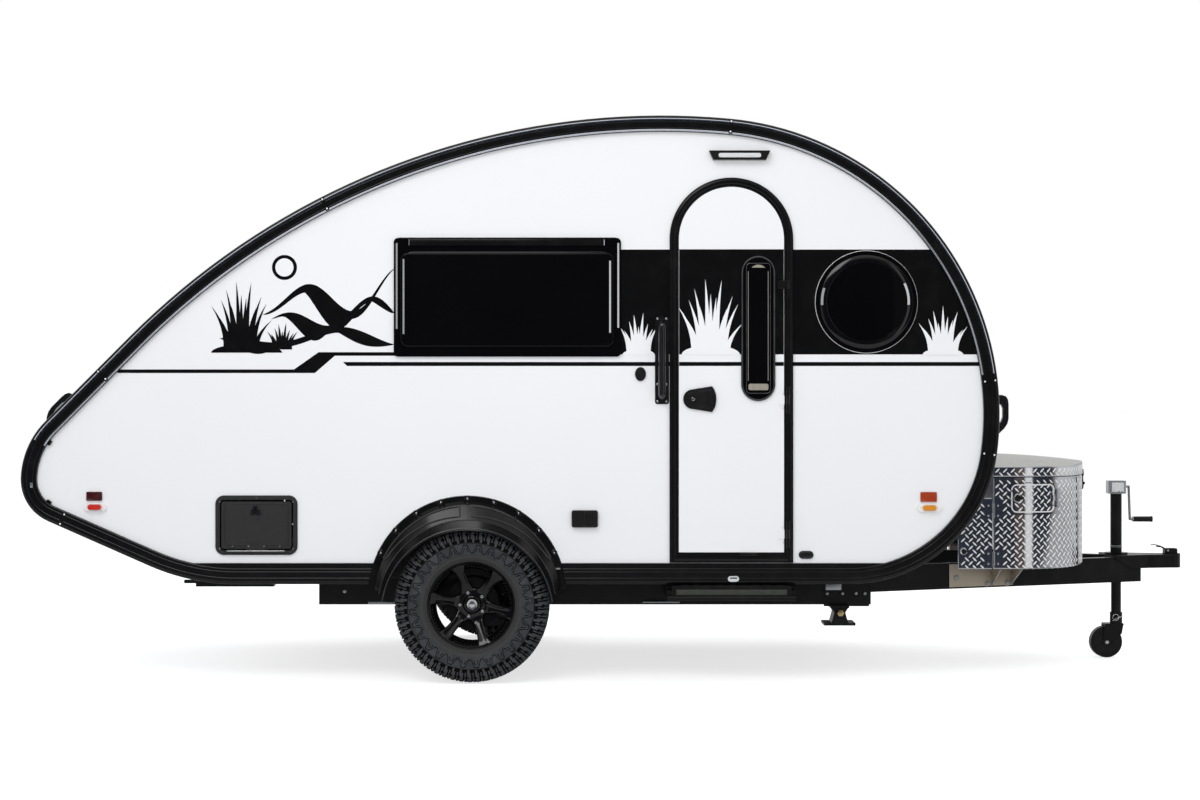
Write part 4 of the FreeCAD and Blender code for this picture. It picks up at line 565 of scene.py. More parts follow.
def lid_metal():
    """Lid: plain dull sheet on top, bright tread plate on the turned-down edge."""
    f = Finish("lid_sheet", metallic=1.0)
    edge = f.axes(f.place)[2] < (LID_EDGE_Z - 0.5) * MM
    speck = f.noise(260, 3)
    top = f.mix(speck.clear(0.35, 0.7), (0.46, 0.46, 0.45), (0.70, 0.70, 0.69))
    f.colour(f.mix(edge, top, (0.66, 0.67, 0.70)))
    f.rough(f.math("MULTIPLY_ADD", edge, -0.36, f.noise(14, 4) * 0.08 + 0.42))
    f.bump(f.noise(9, 5, 0.6, (4, 90, 4)), 0.0002, 0.25)
    return f


def rubber_surface(f):
    f.rough(f.noise(40, 4) * 0.14 + 0.6)
    f.bump(f.noise(500, 3), 0.0004, 0.35)
    return f


def rubber():
    f = Finish("tyre_rubber", specular_ior_level=0.22)
    dust = f.noise(16, 5).clear(0.4, 0.75)
    f.colour(f.mix(dust, (0.044, 0.046, 0.050), (0.070, 0.073, 0.078)))
    return rubber_surface(f)


def groove_shaded_rubber(name, shadow_only):
    """Tyre body: the same rubber, with painted shade, near black, where the tread's grooves go down to it.
    With the second argument set it is near black all over, for painted shadow lines along the marks on the
    tyre's side.
    """
    f = Finish(name, specular_ior_level=0.12)
    x, _, z = f.axes(f.place)
    across = x - WHEEL[0] * MM
    up = z - WHEEL[1] * MM
    radius = (across * across + up * up) ** 0.5
    # Near black all over: painted shadow for the lines along the marks on the tyre's side.
    if shadow_only:
        side_wall = (0.004, 0.004, 0.005)
    else:
        dust = f.noise(16, 5).clear(0.4, 0.75)
        side_wall = f.mix(dust, (0.036, 0.0385, 0.042), (0.060, 0.063, 0.068))
        side_wall = f.mix(radius.clear(0.222, 0.25), (0.046, 0.046, 0.046), side_wall)
    # Painted shade: near black on the carcass past the tread's foot, where it shows between the blocks.
    f.colour(f.mix(radius.clear(0.289, 0.294), side_wall, (0.001, 0.001, 0.001)))
    return rubber_surface(f)


def under_coat():
    f = Finish("under_coat", specular_ior_level=0.15)
    f.colour(f.mix(f.noise(5, 5), (0.02, 0.02, 0.021), (0.05, 0.048, 0.046)))
    f.rough(f.noise(12, 4) * 0.2 + 0.6)
    f.bump(f.noise(90, 4), 0.0012, 0.6)
    return f


WHITE = glossy_white("white_panel")
WHITE_DOOR = glossy_white("white_door", DOOR_X + DOOR_RADIUS - DOOR_BAND - 6)
BLACK_VINYL = black_coat("black_vinyl", 0.003, 0.22, 260, 0.0001, 0.3)
TRIM = black_coat("trim_extrusion", 0.004, 0.20, 220, 0.0002, 0.34)
# Near-white polished metal for strips on the black trim: a painted highlight.
TRIM_PAINTED_HIGHLIGHT = bare_metal("trim_painted_highlight", (0.90, 0.93, 1.0), 0.08, (20, 20, 20), 0.04)
# Bright metal for thin strips on the black windows and porthole: a painted highlight.
PANE_PAINTED_HIGHLIGHT = bare_metal("pane_painted_highlight", (0.62, 0.63, 0.66), 0.04, (20, 20, 20), 0.03)
# Grey lighter than the black frame, so the door window's rims show as thin lines: a painted highlight.
PANE_LINE_HIGHLIGHT = black_coat("pane_line_painted_highlight", 0.035, 0.25, 200, 0.0001, 0.7)
GLASS_EDGE = black_coat("pane_edge_gloss", 0.002, 0.11, 120, 0.0001, 0.5)
GRIP = black_coat("grip_gloss", 0.005, 0.20, 200, 0.0001, 0.9)
STEP_MAT = dyed_coat("step_mat", (30, 3), (0.030, 0.032, 0.027), (0.048, 0.051, 0.044), 0.55, 240, 0.0003,
                     0.3)
FENDER_GLOSS = black_coat("fender_gloss", 0.004, 0.14, 180, 0.0001, 0.3)
# Black several times lighter than the fender's own, for its ribs, lip, crest and flange bead: a painted
# highlight on the raised edges.
FENDER_RIB_HIGHLIGHT = black_coat("fender_rib_painted_highlight", 0.022, 0.26, 180, 0.0001, 0.5)
CHASSIS = black_coat("chassis_coat", 0.005, 0.30, 300, 0.0004, 0.22)
MOULDED = black_coat("moulded_black", 0.007, 0.36, 340, 0.0004, 0.26)
SEAL = black_coat("seal_rubber", 0.006, 0.55, 300, 0.0004, 0.18)
BLIND = dyed_coat("blind_cloth", (60, 3), (0.22, 0.205, 0.165), (0.34, 0.32, 0.26), 0.6, 500, 0.0003, 0.2)
HATCH_GRAIN = leather_grain("hatch_grain", 0.024)
VENT_WHITE = leather_grain("vent_plastic", 0.62)
ACRYLIC = acrylic("smoked_acrylic", 0.15)
DOME_ACRYLIC = acrylic("smoked_dome_acrylic", 0.02)
RED_LENS = lens("red_lens", (0.50, 0.008, 0.006), (0.80, 0.04, 0.02))
AMBER_LENS = lens("amber_lens", (0.70, 0.20, 0.01), (0.92, 0.42, 0.04))
CLEAR_LENS = lens("clear_lens", (0.70, 0.71, 0.72), (0.86, 0.87, 0.88))
PLATE = bare_metal("tread_plate", (0.66, 0.67, 0.70), 0.05, (30, 30, 30), 0.07)
LUG = bare_metal("tread_lug", (0.97, 0.97, 0.96), 0.30, (60, 60, 60), 0.12, 0.15)
LID = lid_metal()
BRIGHT = bare_metal("bright_steel", (0.80, 0.80, 0.80), 0.14)
ZINC = bare_metal("zinc_plate", (0.52, 0.53, 0.53), 0.30)
CAST = bare_metal("cast_aluminium", (0.74, 0.76, 0.78), 0.30)
BRASS = bare_metal("brass", (0.72, 0.55, 0.26), 0.25)
TAN = dyed_coat("tan_coat", (8, 4), (0.33, 0.28, 0.22), (0.42, 0.365, 0.29), 0.5, 200, 0.0003)
RIM_GLOSS = black_coat("rim_gloss", 0.003, 0.10, 120, 0.0001, 0.45)
IRON = black_coat("drum_iron", 0.006, 0.6, 200, 0.0006, 0.08)
RUBBER = rubber()
# Tyre body with painted shade in the tread's grooves.
RUBBER_GROOVE_SHADE = groove_shaded_rubber("tyre_rubber_body_groove_shade", False)
# Near black rubber for painted shadow lines along the marks on the tyre's side.
RUBBER_PAINTED_SHADOW = groove_shaded_rubber("tyre_mark_painted_shadow", True)
UNDER = under_coat()
DEEP_RED = lens("reflector_red", (0.035, 0.002, 0.002), (0.075, 0.004, 0.004))
DEEP_AMBER = lens("reflector_amber", (0.34, 0.030, 0.004), (0.50, 0.060, 0.008))

NODE_FINISHES = [
    (WHITE, "wall_right wall_left front_shell roof_shell tail_shell"),
    (WHITE_DOOR, "door_leaf"),
    (TRIM, "edge_trim_right edge_trim_left door_frame"),
    (FENDER_GLOSS, "fender_right fender_left"),
    (ACRYLIC, "side_windows end_windows door_window"),
    (DOME_ACRYLIC, "porthole_windows"),
    (HATCH_GRAIN, "hatch_frames hatch_door_right hatch_door_left outlet_box"),
    (MOULDED, "door_handle porch_light caster_wheel"),
    (GRIP, "corner_handles grab_bar"),
    (RED_LENS, "red_lenses"),
    (AMBER_LENS, "amber_lenses"),
    (LUG, "lamp_bases"),
    (VENT_WHITE, "vent_base vent_lid"),
    (CHASSIS, "frame_rails cross_members tongue_rails axle_beam coupler jack_tube front_scissors step_guides"
              " step_tread jack_leg caster_fork rear_steadies"),
    (UNDER, "floor_panel wheel_tub_right wheel_tub_left"),
    (CAST, "jack_head"),
    (ZINC, "jack_crank"),
    (PLATE, "toolbox_tub toolbox_wing_right toolbox_wing_left toolbox_hatch"),
    (LID, "toolbox_lid"),
    (TAN, "toolbox_brackets"),
    (IRON, "hub_right hub_left"),
    (RIM_GLOSS, "rim_right rim_left"),
    (RUBBER, "tyre_right tyre_left"),
]
for coat, names in NODE_FINISHES:
    for node_name in names.split():
        for spot in nodes[node_name].material_slots:
            spot.material = coat.material

repeat = Repeat()


def repeated(name, item, spots, finish, body="trailer"):
    """Copies of a small item as one piece; each spot is a position and a rotation."""
    show(name, repeat.make(item, spots, finish), finish, body)


def screw_head(radius, height):
    """Domed head with a rim, for screws and rivets."""
    profile = [(radius, 0), (radius, height * 0.35), (radius * 0.8, height * 0.8), (radius * 0.4, height)]
    return Shape().lathe((0, 0, 0), UP, profile, 12).mesh("head")


def heads(name, places, finish, body, radius, height):
    """A set of heads as one piece; each place is a position and the way it looks out."""
    repeated(name, screw_head(radius, height), [(p, turned(out)) for p, out in places], finish, body)


# ---------------------------------------------------------------- livery
def blade(x, z, height, lean, width):
    """One curved grass blade as an outline of X and Z."""
    left = []
    right = []
    for i in range(7):
        t = i / 6
        middle = x + lean * t * t
        half = width / 2 * (1 - t) ** 0.8
        left.append((middle - half, z + height * t))
        right.append((middle + half, z + height * t))
    return left[:-1] + [(x + lean, z + height)] + list(reversed(right[:-1]))


def clump(x, z, width, height, count):
    """Fan of grass blades on one foot."""
    blades = []
    for i in range(count):
        share = (i + 0.5) / count * 2 - 1
        tall = height * (1 - 0.45 * share * share) * (0.82 + 0.18 * math.cos(i * 2.4))
        blades.append(blade(x + share * width * 0.32, z, tall, share * width * 0.34, width / count * 1.7))
    return blades


def mound(x, z, width, height):
    """Low hump of ground that the blades of a clump stand on."""
    return [(x + width / 2 * math.cos(t), z + height * math.sin(t))
            for t in (math.pi * i / 16 for i in range(17))]


def dune(x0, x1, base, top, phase, thick):
    """Dune crest as a band that swells on its lee slope and thins towards both ends."""
    upper = []
    lower = []
    steps = 44
    for i in range(steps + 1):
        t = i / steps
        x = x0 + (x1 - x0) * t
        swell = math.sin(math.pi * t) ** 0.7 if 0 < t < 1 else 0.0
        turn = 2 * math.pi * (t * 1.4 + phase)
        z = base + (top - base) * (0.5 - 0.5 * math.cos(turn)) * (0.35 + 0.65 * t)
        fall = max(0.0, -math.sin(turn))
        upper.append((x, z + thick * swell * 0.3))
        lower.append((x, z - thick * swell * (0.3 + 1.5 * fall) - 1))
    return upper + list(reversed(lower))


def films(name, side, sheets, y, finish, body="trailer"):
    """Film on a side as one piece, from pairs of an outline and its lift off the first layer."""
    shape = Shape()
    for outline, lift in sheets:
        shape.prism(on_wall(side, outline, y + lift), (0, side * FILM_DEPTH, 0))
    show(name, shape, finish, body)


def layered(outlines, step=0.0):
    """Outlines with their lifts, each a step further out so that crossing films stay apart."""
    return [(outline, step * i) for i, outline in enumerate(outlines)]


FILM_DEPTH = 0.5
GRASS_LIFT = 0.6
GRASS_STEP = 0.05
BAND_REAR_X = -60
# X, width, height and number of blades, then width and height of the ground under them.
BAND_TUFTS = ((40, 150, 205, 9, 150, 26), (1450, 190, 235, 11, 190, 30))
LEFT_TUFT = (760, 250, 330, 13, 260, 40)
DOOR_TUFT = (DOOR_X - 96, 250, 365, 13, 270, 44)
DUNE_END_X = -1092
SUN = (-1600, 1925)
# Outlines in X and Z.
REAR_STRIPE = [(-2385, 1452.5), (-1556, 1452.5), (-1442, 1532.5), (-1075, 1532.5), (-1075, 1516),
               (-1367, 1516), (-1459, 1436), (-2371, 1436)]
LONG_STRIPE = [(-1329, 1487), (1640, 1487), (1634, 1468.5), (-1310, 1468.5)]


def band_outline():
    """Black band from its rear end up to the nose trim."""
    edge = [(x, z) for x, z, _ in body_line(62, 20) if BAND_LOW < z < BAND_TOP and x > 0]
    return ([(BAND_REAR_X, BAND_LOW), (edge[0][0] + 6, BAND_LOW)] + edge
            + [(edge[-1][0] - 4, BAND_TOP), (BAND_REAR_X, BAND_TOP)])


def tuft(x, width, height, count, ground_width, ground_height):
    """Clump of grass and the hump of ground it stands on, at the foot of the black band."""
    foot = BAND_LOW - 2
    return clump(x, foot, width, height, count) + [mound(x, foot, ground_width, ground_height)]


def clip_right(outline, limit):
    """Outline cut off at an X, for film that stops at the door."""
    kept = []
    for i, (x, z) in enumerate(outline):
        px, pz = outline[i - 1]
        if (px <= limit) != (x <= limit):
            share = (limit - px) / (x - px)
            kept.append((limit, pz + (z - pz) * share))
        if x <= limit:
            kept.append((x, z))
    return kept


def mirror_x(outline, about):
    return [(2 * about - x, z) for x, z in outline]


def clip_left(outline, limit):
    return mirror_x(clip_right(mirror_x(outline, limit), limit), limit)


def make_livery():
    film_y = WALL_Y + 0.1
    band = [LONG_STRIPE, band_outline()]
    grass = tuft(*BAND_TUFTS[0]) + tuft(*BAND_TUFTS[1])
    dunes = [dune(-1700, DUNE_END_X, 1705, 1925, 0.05, 66), dune(-1660, DUNE_END_X, 1640, 1800, 0.36, 52),
             dune(-1900, DUNE_END_X, 1566, 1656, 0.55, 46), mound(-1775, 1530, 330, 40)]
    dunes += clump(-1800, 1545, 230, 330, 13) + clump(-1610, 1545, 120, 130, 9)
    sun, core = (arc(*SUN, radius, 0, 360, 40)[:-1] for radius in (58, 42))
    for side, word in SIDES:
        sheets = [REAR_STRIPE]
        if side == RIGHT:
            gap = DOOR_RADIUS - 4
            for outline in band:
                sheets += [clip_right(outline, DOOR_X - gap), clip_left(outline, DOOR_X + gap)]
        else:
            sheets += band
            grass = grass + tuft(*LEFT_TUFT)
        films("band_film_" + word, side, layered(sheets), film_y, BLACK_VINYL)
        films("band_grass_" + word, side, layered(grass, GRASS_STEP), film_y + GRASS_LIFT, WHITE)
        films("dune_film_" + word, side, layered(dunes, 0.04) + [(sun, 0)], film_y, BLACK_VINYL)
        films("sun_core_" + word, side, [(core, 0)], film_y + GRASS_LIFT, WHITE)

    leaf = DOOR_RADIUS - DOOR_BAND - 8.5
    sheets = [clip_left(clip_right(outline, DOOR_X + leaf), DOOR_X - leaf) for outline in band]
    grass = [clip_left(outline, DOOR_X - leaf) for outline in tuft(*DOOR_TUFT)]
    films("door_film", RIGHT, layered(sheets), LEAF_Y + 0.1, BLACK_VINYL, "entry_door")
    films("door_grass", RIGHT, layered(grass, GRASS_STEP), LEAF_Y + 0.7, WHITE, "entry_door")


# ---------------------------------------------------------------- body edge, windows and door
ARCH_REACH = 419
# Headings between which the trim's upper part runs.
UPPER_TRIM = (98, 241)
PORTHOLE = (1094.5, 1765)
# Middle, width, height and corner of the side windows, of their bulging middles, and of the galley's.
SIDE_PANE = (-567, 1789, 1041, 539, 24)
SIDE_BULGE = (-567.5, 1778, 962, 428, 46)
GALLEY_PANE = (330, 1700, 626, 406, 24)
GALLEY_BULGE = (330, 1700, 552, 312, 36)
# Heading of an end window's middle and its height.
END_PANES = ((112, 620), (219, 560))
DOOR_PANE = (593, 1642)
HANDLE_Z = 1315
INLET = (816, 594)
OUTLET_X = -209
STEP_LAMP_X = 478.5
HATCH_X = -1729
HATCH_FRAME_Z = 731.5
HATCH_LOCK_X = -1733
HATCH_LOCK_Z = 786
TRIM_CAPS = ((-2690, 1115), (-2694, 828))
TRIM_TAB = (-2760, 917)
TRIM_JOINTS = ((470, 2605), (1665, 1395), (1667, 1055), (-2640, 730), (-2465, 1445), (-1450, 2300))


def trim_run(inset, step):
    """Open run of points along the trim, from one side of the wheel arch round to the other."""
    points = body_line(inset, step)
    hidden = [i for i, (x, z, _) in enumerate(points)
              if math.hypot(x - WHEEL[0], z - WHEEL[1]) <= ARCH_REACH]
    return points[hidden[-1] + 1:] + points[:hidden[0]]


def make_trim():
    for side, word in SIDES:
        out = Vector((0, side, 0))
        beads = Shape()
        for inset in (29, 58):
            run = [(x, side * (TRIM_Y - 1.2), z) for x, z, _ in trim_run(inset, 30)]
            beads.tube(run, 2.4, 8, flat=out)
        show("trim_beads_" + word, beads, TRIM)
        # Teeth of bright metal tilted towards the overhead light: a painted highlight near the trim's outer
        # edge and on its lip by the wall.
        for part, inset, run, slope in (("gloss", 14, 3.0, 0.9), ("lip", 65, 2.8, 0.66)):
            strip = Shape()
            tooth = [(-side * across, rise)
                     for across, rise in ((0, -2), (0, 0), (run, run * slope), (run, -2))]
            for i in range(3):
                upper = [(x, side * (TRIM_Y - 0.1), z) for x, z, h in body_line(inset + run * i, 24)
                         if UPPER_TRIM[0] < h < UPPER_TRIM[1]]
                strip.rail(upper, tooth, flat=out)
            show("trim_" + part + "_" + word, strip, TRIM_PAINTED_HIGHLIGHT)
        caps = Shape()
        for near in TRIM_CAPS:
            spot, along, inward = edge_spot(near, 79)
            tapered = ((-1, -1), (1, -1), (0.7, 1), (-0.7, 1))
            outline = plate_corners(spot + out * (WALL_Y + 0.5), along, inward, 15, 9, tapered)
            caps.prism(outline, out * 15, 2)
        show("trim_corner_caps_" + word, caps, TRIM)
        x, _, z = edge_spot(TRIM_TAB, 52)[0]
        tab = Shape().box(x - 6, x + 6, side * (TRIM_Y - 1), side * (TRIM_Y + 1.6), z - 11, z + 11, 0.6)
        show("trim_tab_" + word, tab, CAST)
        joints = Shape()
        dots = []
        for near in TRIM_JOINTS:
            spot, along, inward = edge_spot(near, 38)
            centre = spot + out * (TRIM_Y - 0.6)
            joints.prism(plate_corners(centre, along, inward, 9, 33), out * 2.4, 1.0)
            dots += [(centre + inward * w + out * 2.2, out) for w in (-24, 24)]
        show("trim_joints_" + word, joints, TRIM)
        heads("trim_screws_" + word, dots, LUG, "trailer", 4.2, 1.8)


def pane_gasket(shape, side, pane, radius):
    """Bead round a window pane, given as the numbers of its round-cornered outline."""
    path = on_wall(side, round_rect(*pane), WALL_Y + radius * 0.8)
    shape.tube(path, radius, 8, loop=True, flat=(0, side, 0))


def pane_bulge(shape, side, pane, out):
    """Raised edge of a window's bulging middle."""
    shape.tube(on_wall(side, round_rect(*pane, 8), WALL_Y + out), 6.5, 12, loop=True, flat=(0, side, 0))


def make_window_trim():
    gaskets, rails, rings, edges, lines = (Shape() for _ in range(5))
    crown = [(r, 19.5 - 100 + math.sqrt(10000 - (r - 175) ** 2)) for r in range(216, 185, -3)]
    for side in (RIGHT, LEFT):
        flat = (0, side, 0)
        pane_gasket(gaskets, side, SIDE_PANE, 5)
        rails.box(-1024, -116, side * (WALL_Y + 12), side * (WALL_Y + 24), 2024, 2054, 4)
        # The bright facets and arcs put in lines, here and below, are painted highlights: ticks at the rail's
        # ends, lines down the window's edges and arcs round the porthole.
        for x in (-1021, -119):
            lines.facet(side, x, 2026, 2052, 24, 1, 1.5)
        centre_x, centre_z = PORTHOLE
        rings.lathe((centre_x, side * (WALL_Y + 1), centre_z), flat,
                    [(237, 0), (238, 5), (236, 8), (233, 9), (232, 0)], 96, loop=True)
        edges.lathe((centre_x, side * WALL_Y, centre_z), flat,
                    [(218, 8)] + crown + [(184, 18.2), (183.5, 15), (200, 8)], 96, loop=True)
        pane_bulge(gaskets, side, SIDE_BULGE, 19)
        for x, low, high, base, lean in ((-1046, 1616, 1962, 28, -1), (-92, 1622, 1954, 28, 1),
                                         (-1079, 1640, 2037, 14, -1), (-54, 1645, 2037, 14, 1)):
            lines.facet(side, x, low, high, base, lean)
        for radius, first, last, base, rise in ((200, -4, 26, 16.8, 2.4), (211.5, 162, 184, 13, 4.2)):
            section = [(0, -2), (0, 0), (-side * 11, rise), (-side * 11, -2)]
            path = on_wall(side, arc(*PORTHOLE, radius, first, last, 12), WALL_Y + base)
            lines.rail(path, section, flat=flat)
    pane_gasket(gaskets, LEFT, GALLEY_PANE, 6)
    rails.box(60, 600, WALL_Y + 12, WALL_Y + 24, 1876, 1894, 4)
    pane_bulge(gaskets, LEFT, GALLEY_BULGE, 21)
    show("window_gaskets", gaskets, GLASS_EDGE)
    show("window_rails", rails, TRIM)
    show("porthole_rings", rings, LUG)
    show("porthole_crowns", edges, GLASS_EDGE)
    show("window_bevel_strips", lines, PANE_PAINTED_HIGHLIGHT)

    ends = Shape()
    for heading, height in END_PANES:
        radius = outline_spot(heading, SKIN_INSET)[2]
        path = []
        for y, up in round_rect(0, 0, 1188, height + 8, 64, 8):
            spot = outline_spot(heading + math.degrees(math.asin(up / radius)), SKIN_INSET - 2)[0]
            path.append((spot.x, y, spot.z))
        ends.tube(path, 7, 10, loop=True)
    show("end_window_gaskets", ends, SEAL)


SEAM_SPOTS = ((487, 2603), (-2452, 1456))
TAIL_LAMP_Y = 690
TAIL_LAMP_HEADINGS = (247, 263)
PLATE_HEADING = 246


def make_shell_details():
    """Seam strips over the shell's joints, tail lamp rims and a blank plate in its holder, with bolts."""
    across = Vector((0, 1, 0))
    seams = Shape()
    for near in SEAM_SPOTS:
        spot, along, inward = edge_spot(near, SKIN_INSET)
        seams.prism(plate_corners(spot + inward, along, across, 12, 944), inward * -4, 1.2)
    show("shell_seams", seams, WHITE)
    rims = Shape()
    rim = [(53, -3), (53, 2.5), (55, 3.4), (57.5, 3), (59, 0), (59, -3)]
    for side in (RIGHT, LEFT):
        for heading in TAIL_LAMP_HEADINGS:
            spot, normal, _ = outline_spot(heading, SKIN_INSET)
            rims.lathe((spot.x, side * TAIL_LAMP_Y, spot.z), normal, rim, 48, loop=True)
    show("tail_lamp_rims", rims, BRIGHT)
    spot, normal, _ = outline_spot(PLATE_HEADING, SKIN_INSET)
    up = across.cross(normal)

    def raised(points, lift):
        return [spot + across * y + up * v + normal * lift for y, v in points]

    holder = Shape().prism(raised(round_rect(0, 0, 322, 170, 14), -8), normal * 13, 2)
    show("plate_holder", holder, MOULDED)
    plate = Shape().prism(raised(round_rect(0, 0, 305, 152, 12), 4.5), normal * 1.5, 0.4)
    show("blank_plate", plate, LUG)
    bolts = raised([(y, v) for y in (-89, 89) for v in (-62, 62)], 6)
    heads("plate_bolts", [(bolt, normal) for bolt in bolts], ZINC, "trailer", 6, 2.4)


def door_arch(radius, bottom, y, steps=28):
    """Up one side of the door, over its half-round top and down the other."""
    top = [(x, -y, z) for x, z in arc(DOOR_X, DOOR_ARCH_Z, radius, 0, 180, steps)]
    return [(DOOR_X + radius, -y, bottom)] + top + [(DOOR_X - radius, -y, bottom)]


def handle_outline(inset):
    """Paddle handle: a round rear end that widens to a bowed front edge."""
    rear = 46 - inset
    high = 60 - inset
    front = 379 - inset * 0.6
    return (arc(292, HANDLE_Z, rear, 90, 270, 14) + [(front, HANDLE_Z - high)]
            + arc(289, HANDLE_Z, 110 - inset, -27, 27, 8) + [(front, HANDLE_Z + high)])


def make_door():
    sill = DOOR_BOTTOM_Z + 8
    frame_bead = door_arch(DOOR_RADIUS - 17, sill, WALL_Y + 12)
    band = Shape().tube(frame_bead, 12.5, 12, squash=0.32, flat=OUT_RIGHT)
    band.box(DOOR_X - 272, DOOR_X + 272, -(WALL_Y + 10), -(WALL_Y + 15), sill, sill + 24, 2)
    band.box(505, 589, -(WALL_Y + 14), -(WALL_Y + 26), 590, 603, 3)
    show("door_frame_bead", band, TRIM)
    seal = Shape().tube(door_arch(DOOR_RADIUS - DOOR_BAND - 3.6, 602, LEAF_Y - 6), 3.4, 8, flat=OUT_RIGHT)
    seal.tube([(DOOR_X - 246, -(LEAF_Y - 6), 603.5), (DOOR_X + 246, -(LEAF_Y - 6), 603.5)], 2.6, 8)
    show("door_seal", seal, SEAL)

    # The rims round the door window are lighter grey than its frame: a painted highlight line.
    pane = Shape()
    for width, height, corner, steps, out, radius, sides in ((148, 662, 73, 10, 10, 4.0, 10),
                                                             (110, 600, 16, 6, 17, 1.8, 8)):
        rim = on_wall(RIGHT, round_rect(*DOOR_PANE, width, height, corner, steps), LEAF_Y + out)
        pane.tube(rim, radius, sides, loop=True, flat=OUT_RIGHT)
    show("door_window_rims", pane, PANE_LINE_HIGHLIGHT, "entry_door")
    foot = round_rect(DOOR_PANE[0], 1371, 92, 30, 8, 4)
    head = arc(DOOR_PANE[0], 1894, 42, 42, 138, 12)
    blind = Shape().prism(on_wall(RIGHT, foot, LEAF_Y + 17), (0, -4, 0), 1.5)
    blind.prism(on_wall(RIGHT, head, LEAF_Y + 17), (0, -1.0, 0), 0.3)
    for x in (546, 638):
        blind.box(x - 1.2, x + 1.2, -(LEAF_Y + 16), -(LEAF_Y + 17.8), 1400, 1905, 0.4)
    show("door_window_blind", blind, BLIND, "entry_door")

    grip = Shape().prism(on_wall(RIGHT, handle_outline(0), LEAF_Y + 0.3), (0, -12, 0), 4, 3)
    grip.prism(on_wall(RIGHT, handle_outline(13), LEAF_Y + 12), (0, -3.5, 0), 2, 2)
    paddle = arc(246, HANDLE_Z, 143, -17, 17, 8) + list(reversed(arc(246, HANDLE_Z, 117, -18, 18, 8)))
    grip.prism(on_wall(RIGHT, paddle, LEAF_Y + 12), (0, -10, 0), 3, 2)
    show("handle_shell", grip, MOULDED, "entry_door", ["door_handle"])
    lock = Shape().disc((292, -(LEAF_Y + 15.3), HANDLE_Z), OUT_RIGHT, 8.5, 3, 1.0, 20)
    show("handle_lock", lock, BRIGHT, "entry_door")

    for name, finish, levels in (("upper", SEAL, [1845]), ("lower", WHITE, [1310, 690])):
        screws = [((706, -(LEAF_Y + 4.6), z + dz), OUT_RIGHT) for z in levels for dz in (-34, 34)]
        heads("door_hinge_screws_" + name, screws, finish, "entry_door", 5, 2.4)


def make_side_fittings():
    screws = [((x, -(WALL_Y + 6.8), z), OUT_RIGHT) for x in (128, 169) for z in (1687, 1384, 1305)]
    heads("grab_bar_screws", screws, BRIGHT, "trailer", 5.2, 2.6)
    cap = [(49 + 25.5 * math.cos(t), 1431 + 32.5 * math.sin(t)) for t in round_steps(28)]
    caps = Shape().prism(on_wall(RIGHT, cap, WALL_Y + 0.3), (0, -11, 0), 5, 3)
    caps.prism(on_wall(RIGHT, round_rect(*INLET, 68, 36, 17), WALL_Y + 0.3), (0, -9, 0), 3, 2)
    for x in (OUTLET_X - 29, OUTLET_X + 29):
        caps.prism(on_wall(RIGHT, round_rect(x, 764, 54, 66, 6), WALL_Y + 19), (0, -6, 0), 2.5, 2)
        caps.box(x - 20, x + 20, -(WALL_Y + 22), -(WALL_Y + 30), 729, 735, 1.5)
    show("side_caps", caps, MOULDED)
    ring = Shape().tube(on_wall(RIGHT, round_rect(*INLET, 56, 24, 11.5), WALL_Y + 9.3), 2.2, 8, loop=True)
    show("side_cap_rim", ring, GRIP)
    glow = Shape().prism(on_wall(RIGHT, round_rect(507, 2441, 196, 20, 8), WALL_Y + 34.5), (0, -4, 0), 2, 2)
    show("porch_lens", glow, CLEAR_LENS)

    rims = Shape()
    plates = {DEEP_RED: Shape(), DEEP_AMBER: Shape()}
    for side in (RIGHT, LEFT):
        for x, z in ((-2475, 815.5), (1385, 812)):
            rims.tube(on_wall(side, round_rect(x, z, 78, 32, 15), WALL_Y + 12), 2.4, 8, loop=True)
        for finish, x, z, w, h in ((DEEP_RED, -2480, 865, 73, 42), (DEEP_AMBER, 1383, 862, 76, 46)):
            outline = on_wall(side, round_rect(x, z, w, h, 5, 3), WALL_Y + 0.3)
            plates[finish].prism(outline, (0, side * 8.6, 0), 1.2)
    show("marker_rims", rims, LUG)
    show("red_reflectors", plates[DEEP_RED], DEEP_RED)
    show("amber_reflectors", plates[DEEP_AMBER], DEEP_AMBER)
    outline = round_rect(STEP_LAMP_X, 484, 52, 26, 12.9)
    lamp = Shape().prism(on_wall(RIGHT, outline, TRIM_Y + 0.2), (0, -4, 0), 1.5, 2)
    show("step_lamp", lamp, CLEAR_LENS)
    outline = round_rect(STEP_LAMP_X, 488, 34, 6, 2.5)
    slot = Shape().prism(on_wall(RIGHT, outline, TRIM_Y + 4), (0, -0.8, 0), 0.3)
    show("step_lamp_slot", slot, SEAL)


